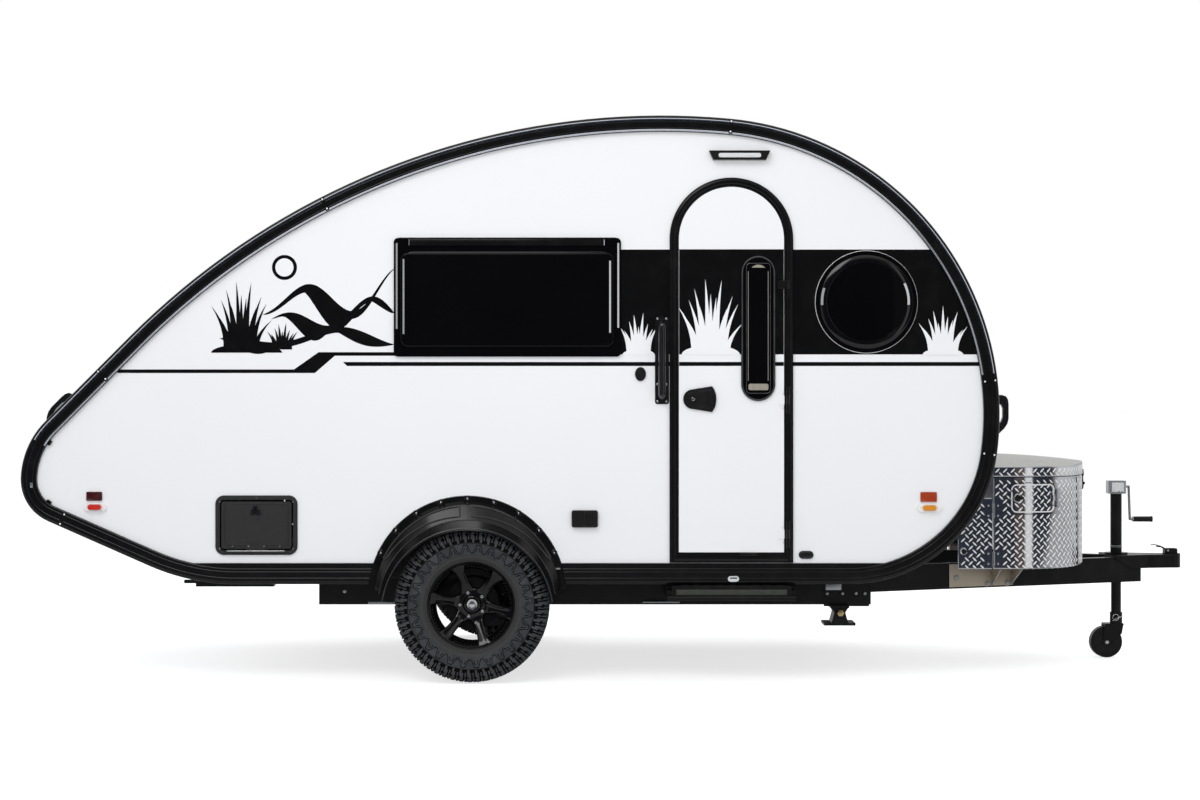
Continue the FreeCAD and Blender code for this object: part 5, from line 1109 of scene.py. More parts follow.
def make_hatches():
    face = WALL_Y + 8
    for side, word in SIDES:
        body = "hatch_" + word
        flat = (0, side, 0)
        outline = on_wall(side, round_rect(HATCH_X, 736, 296, 192, 20), face + 0.4)
        panel = Shape().tube(outline, 2.6, 8, loop=True, flat=flat)
        show("hatch_panel_" + word, panel, HATCH_GRAIN, body)
        lock = Shape().disc((HATCH_LOCK_X, side * face, HATCH_LOCK_Z), flat, 26, 6, 2.5, 36)
        lock.disc((HATCH_LOCK_X, side * face, HATCH_LOCK_Z + 26), flat, 13, 6, 2.5, 24)
        lock.lathe((HATCH_LOCK_X, side * (face + 6), HATCH_LOCK_Z), flat,
                   [(15, -1), (16, 2), (19, 2), (20, -1)], 32, loop=True)
        show("hatch_lock_" + word, lock, GRIP, body)
        rim = on_wall(side, round_rect(HATCH_X, HATCH_FRAME_Z, 362, 257, 34), face - 0.6)
        frame_bead = Shape().tube(rim, 5, 8, loop=True, squash=0.6, flat=flat)
        show("hatch_frame_bead_" + word, frame_bead, HATCH_GRAIN)
        strip = Shape()
        for x in range(-1862, -1596, 7):
            strip.tube([(x, side * (face + 13.2), 613), (x + 5.6, side * (face + 13.2), 613)], 2.6, 8)
        show("hatch_hinge_" + word, strip, ZINC)
        screws = [((HATCH_X + dx, side * (face + 3.9), 634), flat) for dx in (-110, -36, 36, 110)]
        outer = [((HATCH_X + dx, side * (face + 0.2), HATCH_FRAME_Z + dz), flat)
                 for dx, dz in ((0, 128), (0, -128), (-170, 108), (170, 108), (-170, -108), (170, -108))]
        heads("hatch_frame_screws_" + word, outer, ZINC, "trailer", 3.6, 2)
        heads("hatch_screws_" + word, screws, ZINC, body, 3.6, 2)


# ---------------------------------------------------------------- wheels
TREAD_PITCHES = 54
SIDE_MARKS = 28
# Angle and radius of the corners of one mark on the tyre's side.
SIDE_MARK = ((0.4, 247), (3.6, 283), (7.2, 283), (10.4, 247))
SPOKES = 6
SPOKE_STEP = 360 // SPOKES
SPOKE_ANGLE = 49.0
NOTCH_CIRCLE = 181.5
NOTCH_OUT = 77
NOTCH_STEP = 5
VALVE = (168, 66)
VALVE_ANGLE = 20
NUTS = 5
NUT_ANGLE = 110.0
NUT_CIRCLE = 57.15
AXLE = ((0, 0, 0), (0, 1, 0))
CARCASS = [(204, 95), (212, 102), (226, 108), (244, 112), (266, 113.5), (286, 113), (304, 110.5), (320, 106),
           (334, 98), (344, 87), (349, 72), (351, 50), (352, 0)]


def wheel_frame(side, unit=1.0):
    """Matrix from the wheel's own frame (X and Z across it, Y outwards) to the trailer."""
    centre = Vector((WHEEL[0], side * WHEEL_MID_Y, WHEEL[1])) * unit
    return Matrix.Translation(centre) @ Matrix.Scale(side, 4, AXLE[1])


def carcass_walk():
    """The tyre's section from bead to bead, and the distance along it to each of its points."""
    points = CARCASS + [(r, -w) for r, w in reversed(CARCASS[:-1])]
    walk = [0.0]
    for (r0, w0), (r1, w1) in zip(points, points[1:]):
        walk.append(walk[-1] + math.hypot(r1 - r0, w1 - w0))
    return points, walk


TYRE_POINTS, TYRE_WALK = carcass_walk()
TYRE_MIDDLE = TYRE_WALK[len(CARCASS) - 1]
SHOULDER = TYRE_WALK[8]
BLOCK_HEIGHT = 6.4
RIB_HEIGHT = 8.4
SHOULDER_BLOCKS = (
    ((TYRE_WALK[5] + 8, 0.0, 2.4), (TYRE_WALK[6] + 4, 0.0, 2.4), (TYRE_WALK[6] + 5, 0.0, 3.7),
     (TYRE_WALK[7] + 3, 0.0, 3.7), (TYRE_WALK[7] + 4, 1.1, 3.7), (SHOULDER + 3, 1.1, 3.7),
     (SHOULDER + 4, 0.2, 3.7), (TYRE_WALK[9], 0.2, 3.7), (TYRE_WALK[10], 0.2, 3.7),
     (TYRE_WALK[10] + 16, 0.2, 3.7)),
    ((TYRE_WALK[6] + 3, 4.5, 6.1), (TYRE_WALK[7] + 2, 4.5, 6.1), (TYRE_WALK[7] + 3, 4.5, 5.4),
     (SHOULDER - 1, 4.5, 5.4), (SHOULDER, 4.5, 6.2), (TYRE_WALK[9], 4.5, 6.2), (TYRE_WALK[10], 4.5, 6.2),
     (TYRE_WALK[10] + 22, 4.5, 6.2)))
RIB_BLOCKS = ((-46, -16, 0.3, 3.5), (-12, 14, 2.2, 5.6), (18, 46, 0.2, 3.3), (-44, -14, 4.1, 6.3),
              (18, 48, 3.9, 6.2))


def on_tyre(angle, along, height):
    """Point on the carcass at an angle in degrees and a distance along its section, raised by height."""
    i = max(k for k, d in enumerate(TYRE_WALK[:-1]) if d <= along)
    (r0, w0), (r1, w1) = TYRE_POINTS[i], TYRE_POINTS[i + 1]
    span = TYRE_WALK[i + 1] - TYRE_WALK[i]
    t = (along - TYRE_WALK[i]) / span
    out_r, out_w = (w0 - w1) / span, (r1 - r0) / span
    r = r0 + (r1 - r0) * t + out_r * height
    w = w0 + (w1 - w0) * t + out_w * height
    a = math.radians(angle)
    return Vector((r * math.cos(a), w, r * math.sin(a)))


def tyre_side(angle, radius):
    """Point on the side wall of the tyre."""
    width = 112.2 + 1.2 * min(1.0, (radius - 244) / 22)
    a = math.radians(angle)
    return Vector((radius * math.cos(a), width, radius * math.sin(a)))


def tread_block(shape, rows, height, edge=0.35):
    """Block from rows of (distance along the section, first angle, last angle)."""
    rings = []
    for along, first, last in rows:
        top = height if rows[0][0] < along < rows[-1][0] else height * 0.86
        rings.append([on_tyre(first, along, -3), on_tyre(last, along, -3), on_tyre(last - edge, along, top),
                      on_tyre(first + edge, along, top)])
    shape.skin(rings)


def tread_pitch(pitch):
    """One pitch of the tread: shoulder blocks on both sides and the ribs between them."""
    block = Shape()
    for mirror in (False, True):
        for rows in SHOULDER_BLOCKS:
            if mirror:
                rows = [(TYRE_WALK[-1] - d, a + pitch / 2, b + pitch / 2) for d, a, b in reversed(rows)]
            tread_block(block, rows, BLOCK_HEIGHT)
    for low, high, first, last in RIB_BLOCKS:
        mid = (low + high) / 2
        tread_block(block, [(TYRE_MIDDLE + d, first + skew, last + skew)
                            for d, skew in ((low, 0), (mid - 2, 0), (mid + 2, 0.5), (high, 0.5))], RIB_HEIGHT)
    return block.mesh("tread_pitch", 25)


def make_tyre(side, word):
    body = "wheel_" + word
    carcass = Shape()
    section = [(192, 86), (204, 86)] + TYRE_POINTS + [(204, -86), (192, -86)]
    carcass.lathe(*AXLE, section, 108, loop=True)
    for radius, width, bead in ((211, 101.6, 2.4), (289, 112.6, 2.0), (219, 105.6, 1.0), (238, 111, 0.7)):
        carcass.lathe(*AXLE, [(radius - bead, width - 1), (radius, width + bead), (radius + bead, width - 1),
                              (radius, width - 2)], 108, loop=True)
    marks = []
    # Dark tubes round and across each mark are painted shadow lines; the thin tubes of plain rubber inside
    # them follow the marks' edges.
    shadow_lines = Shape()
    edges = Shape()
    for i in range(SIDE_MARKS):
        start = 360 / SIDE_MARKS * i
        marks += [(start + turn, radius) for turn, radius in SIDE_MARK]
        for turn, lean in ((4.4, -1.4), (6.4, 1.4)):
            leg = [tyre_side(start + turn, 270), tyre_side(start + turn + lean, 250)]
            shadow_lines.tube(leg, 2.0, 6, flat=AXLE[1])
    shadow_lines.tube([tyre_side(a, r) for a, r in marks], 2.6, 6, loop=True, squash=0.8, flat=AXLE[1])
    edges.tube([tyre_side(a, r - 4.6) for a, r in marks], 1.7, 6, loop=True, flat=AXLE[1])
    for part in (carcass, shadow_lines, edges):
        part.move(wheel_frame(side))
    show("tyre_marks_" + word, shadow_lines, RUBBER_PAINTED_SHADOW, body)
    show("tyre_mark_edges_" + word, edges, RUBBER, body)

    pitch = 360 / TREAD_PITCHES
    turns = [((0, 0, 0), Matrix.Rotation(math.radians(pitch * i), 3, "Y")) for i in range(TREAD_PITCHES)]
    tread = repeat.make(tread_pitch(pitch), turns, RUBBER)
    tread.transform(wheel_frame(side, MM))
    if side < 0:
        tread.flip_normals()
    show("tyre_carcass_" + word, carcass, RUBBER_GROOVE_SHADE, body, ["tyre_" + word])
    show("tyre_tread_" + word, tread, RUBBER, body)


# Radius and distance outwards, round each turned part.
RIM_BARREL = [(204, 89), (204, 93.5), (202.5, 95), (199, 95), (196.5, 93), (194, 88.5), (190, 86), (186, 80),
              (183, 66), (180, 40), (173, 20), (171, -20), (178, -60), (184, -88), (203, -92), (203, -95),
              (181, -95), (175, -60), (168, -20), (168, 22), (176, 42), (188, 70), (190, 84)]
RIM_HUB = [(37, -54), (80, -54), (80, -6), (78, 8), (72, 14), (66, 16), (44, 16), (42, 13), (40, -20),
           (37, -22)]
CAP_COLLAR = [(20, 0), (39, 0), (39.5, 14), (38, 19), (34, 21.5), (29, 21.5), (27, 18), (20, 17)]
CAP_FACE = [(26.5, 16), (26, 20.5), (23.5, 23), (20, 22), (16, 20.8), (11, 21.8), (6, 22.6), (2, 22.8)]
# Radius, half width, height of the face, depth and how far the middle stands off the edges.
SPOKE_SECTIONS = ((44, 25, 14, 36, 0), (60, 30, 16, 34, 0), (70, 29, 19, 32, -1), (80, 25.5, 23, 32, -2.5),
                  (94, 22.5, 30, 30, -4), (116, 21, 43, 28, -5), (140, 21.5, 58, 26, -5),
                  (160, 24, 71, 26, -4), (174, 28, 80, 28, -2.5), (184, 33, 85, 32, -1), (191, 38, 87, 34, 0))


def spoke_rings():
    """Sections of one spoke, from the hub out to the rim."""
    rings = []
    for r, half, front, depth, centre in SPOKE_SECTIONS:
        row = [(-half, front - depth), (-half - 1, front - 9), (-half + 2.5, front - 2), (-half + 7, front),
               (-half * 0.4, front + centre), (half * 0.4, front + centre), (half - 7, front),
               (half - 2.5, front - 2), (half + 1, front - 9), (half, front - depth)]
        rings.append([Vector((r, out, across)) for across, out in row])
    return rings


def make_rim(side, word):
    body = "wheel_" + word
    matrix = wheel_frame(side)
    rim = Shape().lathe(*AXLE, RIM_BARREL, 96, loop=True)
    for i in range(SPOKES):
        turn = Matrix.Rotation(math.radians(-SPOKE_ANGLE - SPOKE_STEP * i), 3, "Y")
        rim.skin([[turn @ p for p in ring] for ring in spoke_rings()])
    rim.lathe(*AXLE, RIM_HUB, 64, loop=True)
    rim.lathe(*AXLE, CAP_COLLAR, 48, loop=True)
    rim.move(matrix)
    show("rim_spokes_" + word, rim, RIM_GLOSS, body, ["rim_" + word])

    bright = Shape()
    pockets = Shape()
    for i in range(NUTS):
        a = math.radians(NUT_ANGLE + 360 / NUTS * i)
        spot = Vector((NUT_CIRCLE * math.cos(a), 14, NUT_CIRCLE * math.sin(a)))
        pockets.lathe(spot, AXLE[1], [(13.5, 0), (14, 3.4), (12, 3.6), (11, 0.6), (11, -8)], 24)
        bright.lathe(spot, AXLE[1], [(8.6, -8), (8.8, 2), (7.4, 5.2), (4.0, 6.6)], 6)
        bright.lathe(spot, AXLE[1], [(5, 5), (5, 8.2), (3.4, 9.6)], 16)
    bright.lathe(*AXLE, CAP_FACE, 48)
    notches = []
    for angle in range(0, 360, NOTCH_STEP):
        away = min(abs((angle - SPOKE_ANGLE - SPOKE_STEP * k + 180) % 360 - 180) for k in range(SPOKES))
        if away >= 13:
            a = math.radians(angle)
            position = matrix @ Vector((NOTCH_CIRCLE * math.cos(a), NOTCH_OUT, NOTCH_CIRCLE * math.sin(a)))
            notches.append((position, turned((-math.cos(a), 0, -math.sin(a)), (0, side, 0))))
    for part in (bright, pockets):
        part.move(matrix)
    show("wheel_nuts_" + word, bright, BRIGHT, body)
    show("nut_pockets_" + word, pockets, RIM_GLOSS, body)
    notch = Shape().box(-4.2, 4.2, -5.5, 5.5, -3, 2.2, 0.8).mesh("notch")
    repeated("rim_notches_" + word, notch, notches, RIM_GLOSS, body)
    a = math.radians(VALVE_ANGLE)
    foot = Vector((VALVE[0] * math.cos(a), VALVE[1], VALVE[0] * math.sin(a)))
    valve = Shape().tube([matrix @ foot, matrix @ (foot + Vector((-14, 22, -5)))], 3.2, 10)
    show("valve_" + word, valve, MOULDED, body)


# ---------------------------------------------------------------- fender
FLANGE_RADIUS = 458
FENDER_RIVET_CIRCLE = 446


def on_fender(side, out, angle, lift=0.0):
    """Point on the fender's outside at a distance out from the wall and an angle in degrees."""
    for low, high in zip(FENDER, FENDER[1:]):
        if out <= high[0]:
            break
    t = (out - low[0]) / (high[0] - low[0])
    x, z, r = (low[k] + (high[k] - low[k]) * t for k in (1, 2, 3))
    a = math.radians(angle)
    y = side * (WALL_Y + out + lift * 0.6)
    return Vector((x + (r + lift) * math.cos(a), y, z + (r + lift) * math.sin(a)))


def beside_fender(side, radius, angle, out):
    """Point on the wall round the fender's inner edge."""
    _, x, z, _ = FENDER[0]
    a = math.radians(angle)
    return Vector((x + radius * math.cos(a), side * (WALL_Y + out), z + radius * math.sin(a)))


def make_fender(side, word):
    flat = (0, side, 0)
    # The ribs, lip, crest and flange bead below take the lighter black: a painted highlight.
    ribs = Shape()
    for first, last in ((94.6, 153.5), (87.0, 26.5)):
        sweep = [first + (last - first) * i / 18 for i in range(19)]
        loop = [on_fender(side, 46, angle, 0.6) for angle in sweep]
        loop += [on_fender(side, 52 + 19 * math.sqrt(i / 18), sweep[18 - i], 0.6) for i in range(19)]
        ribs.tube(loop, 4.2, 8, loop=True, flat=(0, side, 0.6))
    lip = [on_fender(side, 91.5, 8 + 164 * i / 60, -0.5) for i in range(61)]
    ribs.tube(lip, 3.4, 8, flat=flat)
    crest = [on_fender(side, 79, 10 + 160 * i / 60, 0.2) for i in range(61)]
    ribs.tube(crest, 2.6, 6, flat=flat)
    ribs.tube([beside_fender(side, FLANGE_RADIUS, angle, 3) for angle in range(8, 173, 2)], 2.4, 8, flat=flat)
    cups = Shape()
    spots = [beside_fender(side, FENDER_RIVET_CIRCLE, 90 + 16 * i, 3.6) for i in range(-4, 5)]
    for spot in spots:
        cups.lathe(spot, flat, [(15, 0), (15.5, 3.4), (13.6, 4.4), (11, 1.0), (10, 0.6)], 28)
    show("fender_ribs_" + word, ribs, FENDER_RIB_HIGHLIGHT)
    show("fender_cups_" + word, cups, FENDER_GLOSS)
    rivets = [(spot + Vector((0, side * 0.4, 0)), flat) for spot in spots]
    heads("fender_rivets_" + word, rivets, BRIGHT, "trailer", 5.2, 4.4)
    clip = Shape().box(-346, -322, side * (TRIM_Y + 3), side * (TRIM_Y + 7), 529, 538, 1)
    show("fender_clip_" + word, clip, BRIGHT)


# ---------------------------------------------------------------- toolbox
LUG_STEP = 37.0
WING_REAR_X = 1577.0
WING_TOP_Z = 841.0
WING_LOCK = (1604, 586)
HINGE_LEVELS = (551, 781)
HINGE_HALF = 44
SMALL_HATCH = (1828.0, 2050.0, 768.0, 910.0)
HATCH_KEY_X = 1864
HATCH_KEY_Z = 841
LID_RISE = 48
TONGUE_SLOPE = 0.41218


def box_plan():
    """Toolbox plan as a table of (kind, size, sweep), from the back of its right side round to the left."""
    a = math.radians(BOX_SWEEP)
    length = BOX_FRONT_X - BOX_REAR_X
    bow = (BOX_HALF - BOX_CORNER * (1 - math.cos(a))) / math.cos(a)
    straight = length - BOX_CORNER * math.sin(a) - bow * (1 - math.sin(a))
    return [("line", straight, 0), ("arc", BOX_CORNER, BOX_SWEEP), ("arc", bow, 2 * (90 - BOX_SWEEP)),
            ("arc", BOX_CORNER, BOX_SWEEP), ("line", straight, 0)]


BOX_PLAN = box_plan()
BOX_ROUND = sum(size if kind == "line" else size * math.radians(sweep) for kind, size, sweep in BOX_PLAN)


def on_box(along, z, out=0.0):
    """Point on the toolbox wall at a distance round it, and the way the wall faces there."""
    x, y = BOX_REAR_X, -BOX_HALF
    heading = 0.0
    left = along
    for kind, size, sweep in BOX_PLAN:
        length = size if kind == "line" else size * math.radians(sweep)
        part = min(left, length)
        a = math.radians(heading)
        if kind == "line":
            x += part * math.cos(a)
            y += part * math.sin(a)
        else:
            b = a + part / size
            x += size * (math.sin(b) - math.sin(a))
            y += size * (math.cos(a) - math.cos(b))
            heading = math.degrees(b)
        left -= part
        if left <= 1e-6:
            break
    b = math.radians(heading)
    face = Vector((math.sin(b), -math.cos(b), 0))
    return Vector((x, y, z)) + face * out, face


def on_hatch(outline, out):
    """Outline of X and Z laid on the curved wall, in short steps."""
    straight = BOX_PLAN[0][1]
    loop = []
    for (x0, z0), (x1, z1) in zip(outline, outline[1:] + outline[:1]):
        count = max(1, round(math.hypot(x1 - x0, z1 - z0) / 10))
        for i in range(count):
            x = x0 + (x1 - x0) * i / count - BOX_REAR_X
            along = x if x < straight else straight + BOX_CORNER * math.asin((x - straight) / BOX_CORNER)
            loop.append(on_box(along, z0 + (z1 - z0) * i / count, out)[0])
    return loop


def lug_mesh():
    """One raised lug of the tread plate, pointed at both ends."""
    base = [(-16, 0), (-9, -3.6), (0, -4.6), (9, -3.6), (16, 0), (9, 3.6), (0, 4.6), (-9, 3.6)]
    foot = [Vector((x, y, -0.4)) for x, y in base]
    top = [Vector((x * 0.8, y * 0.62, 1.8)) for x, y in base]
    return Shape().skin([foot, top]).mesh("lug", 20)


def lug_turn(face, slant):
    return turned(face) @ Matrix.Rotation(math.radians(slant), 3, "Z")


def lug_lattice(width, height):
    """Places of lugs over a panel: two square lattices, half a step apart, with crossed lugs."""
    spots = []
    for slant, shift in ((-45, 0), (45, LUG_STEP / 2)):
        for i in range(int(width / LUG_STEP) + 2):
            for j in range(int(height / LUG_STEP) + 2):
                spots.append((shift + i * LUG_STEP, shift + j * LUG_STEP, slant))
    return [s for s in spots if s[0] < width and s[1] < height]


def inside(point, outline):
    """Whether a point of X and Z lies within a closed outline."""
    x, z = point
    odd = False
    for (x0, z0), (x1, z1) in zip(outline, outline[1:] + outline[:1]):
        if (z0 > z) != (z1 > z) and x < x0 + (x1 - x0) * (z - z0) / (z1 - z0):
            odd = not odd
    return odd


def round_box(shape, z, radius, out):
    """Bead round the toolbox at a height."""
    count = 90
    shape.tube([on_box(BOX_ROUND * i / count, z, out)[0] for i in range(count + 1)], radius, 8)


def at_hinge(z):
    return any(abs(z - level) < HINGE_HALF for level in HINGE_LEVELS)


def make_tread_plate():
    lug = lug_mesh()
    walls = []
    skirt = []
    hatch = []
    x0, x1, z0, z1 = SMALL_HATCH
    for u, w, slant in lug_lattice(BOX_ROUND, LID_EDGE_Z - BOX_BOTTOM_Z):
        z = BOX_BOTTOM_Z + 9 + w
        point, face = on_box(u, z)
        turn = lug_turn(face, slant)
        if z > LID_EDGE_Z - 8 or u < 12 or u > BOX_ROUND - 12:
            continue
        if z > BOX_TOP_Z + 10:
            skirt.append((point + face * 2, turn))
            continue
        if z > BOX_TOP_Z - 8:
            continue
        if point.y < -300 and x0 - 4 < point.x < x1 + 22 and z0 - 4 < z < z1 + 4:
            if x0 + 16 < point.x < x1 - 22 and z0 + 12 < z < z1 - 8:
                hatch.append((point + face * 4, turn))
            continue
        if abs(point.y) > BOX_HALF - 1 and point.x < BOX_REAR_X + 42 and at_hinge(z):
            continue
        walls.append((point, turn))
    repeated("tub_lugs", lug, walls, LUG)
    repeated("lid_lugs", lug, skirt, LUG, "box_lid")
    repeated("hatch_lugs", lug, hatch, LUG, "box_hatch")
    nose = [(x, z) for x, z, _ in body_line(-30, 20)]
    for side, word in SIDES:
        spots = []
        for u, w, slant in lug_lattice(164, WING_TOP_Z - BOX_BOTTOM_Z):
            x = BOX_REAR_X - 16 - u
            z = BOX_BOTTOM_Z + 9 + w
            past_edge = z > WING_TOP_Z - 12 or x < WING_REAR_X + 12 or inside((x, z), nose)
            at_lock = math.hypot(x - WING_LOCK[0], z - WING_LOCK[1]) < 26
            if not (past_edge or at_lock or (x > BOX_REAR_X - 50 and at_hinge(z))):
                spots.append(((x, side * BOX_HALF, z), lug_turn((0, side, 0), slant)))
        repeated("wing_lugs_" + word, lug, spots, LUG, "box_wing_" + word)


def hinge_rivets(side, x):
    """Places of the rivets in the wing door's hinge leaves."""
    return [((x, side * (BOX_HALF + 3.8), z + dz), (0, side, 0)) for z in HINGE_LEVELS for dz in (-24, 24)]


def make_tub():
    edges = Shape()
    round_box(edges, BOX_BOTTOM_Z + 2.5, 2.6, 0.6)
    corner = BOX_PLAN[0][1] + BOX_PLAN[1][1] * math.radians(BOX_SWEEP)
    screws = []
    for along in (corner + 40, BOX_ROUND - corner - 40):
        low, face = on_box(along, BOX_BOTTOM_Z + 6, 1.6)
        across = face.cross(Vector(UP))
        strip = ((-11, 0), (11, 0), (11, 425), (-11, 425))
        edges.prism([low + across * w + Vector((0, 0, h)) for w, h in strip], face * 1.6, 0.8)
        screws += [(low + face * 1.5 + Vector((0, 0, 20 + 190 * k)), face) for k in range(3)]
    for y in (-BOX_HALF, BOX_HALF):
        edges.tube([(BOX_REAR_X + 1.5, y, BOX_BOTTOM_Z + 2), (BOX_REAR_X + 1.5, y, BOX_TOP_Z - 4)], 2.6, 8)
    show("tub_edges", edges, PLATE)
    for side in (RIGHT, LEFT):
        screws += hinge_rivets(side, 1768)
    heads("tub_rivets", screws, BRIGHT, "trailer", 5.2, 3.0)


def make_lid():
    seal = Shape()
    round_box(seal, BOX_TOP_Z + 1.3, 1.9, 0.6)
    show("lid_seal", seal, SEAL)
    top = Shape()
    round_box(top, LID_EDGE_Z - 2.2, 2.6, 2.4)
    round_box(top, BOX_TOP_Z + 6.0, 2.2, 2.2)
    show("lid_edges", top, PLATE, "box_lid")
    crown = (BOX_HALF ** 2 + LID_RISE ** 2) / (2 * LID_RISE)
    dots = []
    for x, y in ((1961, -430), (2014, -430), (1961, 430), (2014, 430)):
        far = math.hypot(x - BOX_REAR_X, y)
        z = LID_EDGE_Z + LID_RISE - crown + math.sqrt(crown ** 2 - far ** 2)
        dots.append(((x, y, z - 0.6), UP))
    heads("lid_rivets", dots, LID, "box_lid", 5, 2.6)


def make_small_hatch():
    x0, x1, z0, z1 = SMALL_HATCH
    middle = ((x0 + x1) / 2, (z0 + z1) / 2)
    outline = round_rect(*middle, x1 - x0 - 12, z1 - z0 - 12, 24)
    rim = Shape().tube(on_hatch(outline, 4.4), 5.6, 10, loop=True, squash=0.6)
    show("small_hatch_rim", rim, LUG, "box_hatch")
    outline = round_rect(*middle, x1 - x0 + 8, z1 - z0 + 8, 30)
    seal = Shape().tube(on_hatch(outline, 0.4), 1.8, 8, loop=True)
    show("small_hatch_seal", seal, SEAL)
    key_x = HATCH_KEY_X - BOX_REAR_X
    key = Shape().disc(on_box(key_x, HATCH_KEY_Z, 4)[0], OUT_RIGHT, 15, 5, 2, 24)
    blade_y = -BOX_HALF - 8.6
    key.prism([(1856, blade_y, 834), (1892, blade_y, 836), (1892, blade_y, 846), (1856, blade_y, 848)],
              (0, -5, 0), 2)
    show("small_hatch_latch", key, MOULDED, "box_hatch")
    path = [on_box(key_x + 19 * math.cos(t), HATCH_KEY_Z + 19 * math.sin(t), 4.6)[0] for t in round_steps(32)]
    ring = Shape().tube(path, 2.4, 8, loop=True, flat=OUT_RIGHT)
    show("small_hatch_latch_ring", ring, BRIGHT, "box_hatch")
    pins = [on_box(2045 - BOX_REAR_X, z, 8.0) for z in (812, 866)]
    heads("small_hatch_rivets", pins, BRIGHT, "box_hatch", 4.6, 2.6)


def make_wings():
    low = BOX_BOTTOM_Z + 2
    high = WING_TOP_Z - 2
    lock_x, lock_z = WING_LOCK
    for side, word in SIDES:
        body = "box_wing_" + word
        flat = (0, side, 0)
        y = side * BOX_HALF
        trims = Shape()
        for first, last in (((WING_REAR_X + 1.5, y, low), (WING_REAR_X + 1.5, y, 645)),
                            ((WING_REAR_X + 2, y, low), (1739, y, low)), ((1704, y, high), (1739, y, high))):
            trims.tube([first, last], 2.4, 8)
        trims.lathe((lock_x, side * (BOX_HALF + 0.2), lock_z), flat,
                    [(10, 0), (17, 0), (17.5, 2), (15, 3.4), (11, 2.4)], 32, loop=True)
        show("wing_edges_" + word, trims, PLATE, body)
        lock = Shape().disc((lock_x, y, lock_z), flat, 11, 4.5, 1.5, 24)
        outline = [(1600, 583), (1624, 584.5), (1624, 590), (1600, 590)]
        lock.prism(on_wall(side, outline, BOX_HALF + 4.4), (0, side * 3, 0), 1)
        show("wing_lock_" + word, lock, MOULDED, body)
        heads("wing_rivets_" + word, hinge_rivets(side, 1722), BRIGHT, body, 5.2, 3.0)


def on_tongue(x):
    """Distance of a tongue rail's middle line from the trailer's own."""
    return 46 + (2594 - x) * TONGUE_SLOPE


def make_latch():
    """Keeper on the lid and the rubber strap that hooks over it."""
    front = BOX_FRONT_X
    keeper = Shape().box(front + 2.6, front + 12, -16, 16, 962, 984, 2)
    keeper.tube([(front + 9, -11, 979), (front + 21, -11, 982), (front + 21, 11, 982), (front + 9, 11, 979)],
                3.4, 8)
    show("latch_keeper", keeper, BRIGHT, "box_lid")
    strap = Shape().box(front + 0.6, front + 16, -17, 17, 925, 938, 3)
    strap.tube([(front + 14, 0, 930), (front + 25, 0, 922), (front + 27, 0, 895)], 7, 10)
    strap.tube([(front + 27, 0, 958), (front + 29, 0, 930), (front + 27, 0, 893)], 6.5, 10)
    strap.lathe((front + 26, 0, 896), (0, 0, -1), [(6, 0), (15, 3), (15, 12), (9, 17), (7, 34), (3, 40)], 20)
    show("latch_strap", strap, SEAL)


def make_brackets():
    """Bolts of the toolbox's brackets and the struts below them."""
    bolts = Shape()
    struts = Shape()
    for side in (RIGHT, LEFT):
        flat = (0, side, 0)
        for x, z in ((1758, 412), (1864, 412), (1593, 445)):
            y = on_tongue(x) + 32.6
            bolts.lathe((x, side * y, z), flat, [(15, 0), (15, 2.4), (8, 2.6)], 20)
            bolts.lathe((x, side * (y + 2), z), flat, [(10.5, 0), (10.5, 9), (8, 11)], 6)
        for x in (1785, 1887):
            struts.tube([(x, side * 642, 500), (x, side * (on_tongue(x) + 30), 403)], 3.4, 8)
    show("bracket_bolts", bolts, ZINC)
    show("bracket_struts", struts, BRIGHT)


# ---------------------------------------------------------------- tongue, jack and coupler
def make_jack():
    x, z = JACK_X, JACK_HEAD_Z
    plate = Shape().box(x - 30, x + 30, -37.4, -39.0, z - 22, z + 24, 0.6)
    show("jack_blank_plate", plate, CLEAR_LENS)
    bright = Shape().disc((x + 8, -37, z - 26), OUT_RIGHT, 6, 3, 1, 16)
    bright.tube([(x - 44, -35, z + 31.5), (x + 44, -35, z + 31.5)], 1.8, 8)
    for height in (560, 566):
        bright.lathe((x, 0, height), UP, [(29, 0), (31, 1.5), (31, 3), (29, 4.5)], 32)
    show("jack_trim", bright, ZINC)
    profile = [(9, 0), (13.2, 3), (13.6, 30), (13.8, 92), (15.2, 95), (15.2, 100), (9, 101)]
    show("crank_grip", Shape().lathe((x + 84, 0, 704), (1, 0, 0), profile, 24), MOULDED)

    pin = Shape().tube([(x, -62, PIN_Z), (x, 45, PIN_Z)], 4.5, 10)
    ring = [(x - 16 + 15 * math.cos(t), -58 + 3 * math.sin(t), PIN_Z + 15 * math.sin(t))
            for t in round_steps(24)]
    pin.tube(ring, 1.8, 8, loop=True, flat=(0, 1, 0))
    pin.tube([(x - 30, -52, 190), (x - 4, -54, 205), (x + 20, -52, 214)], 2.4, 8)
    show("caster_pin", pin, BRIGHT, "caster_fork")


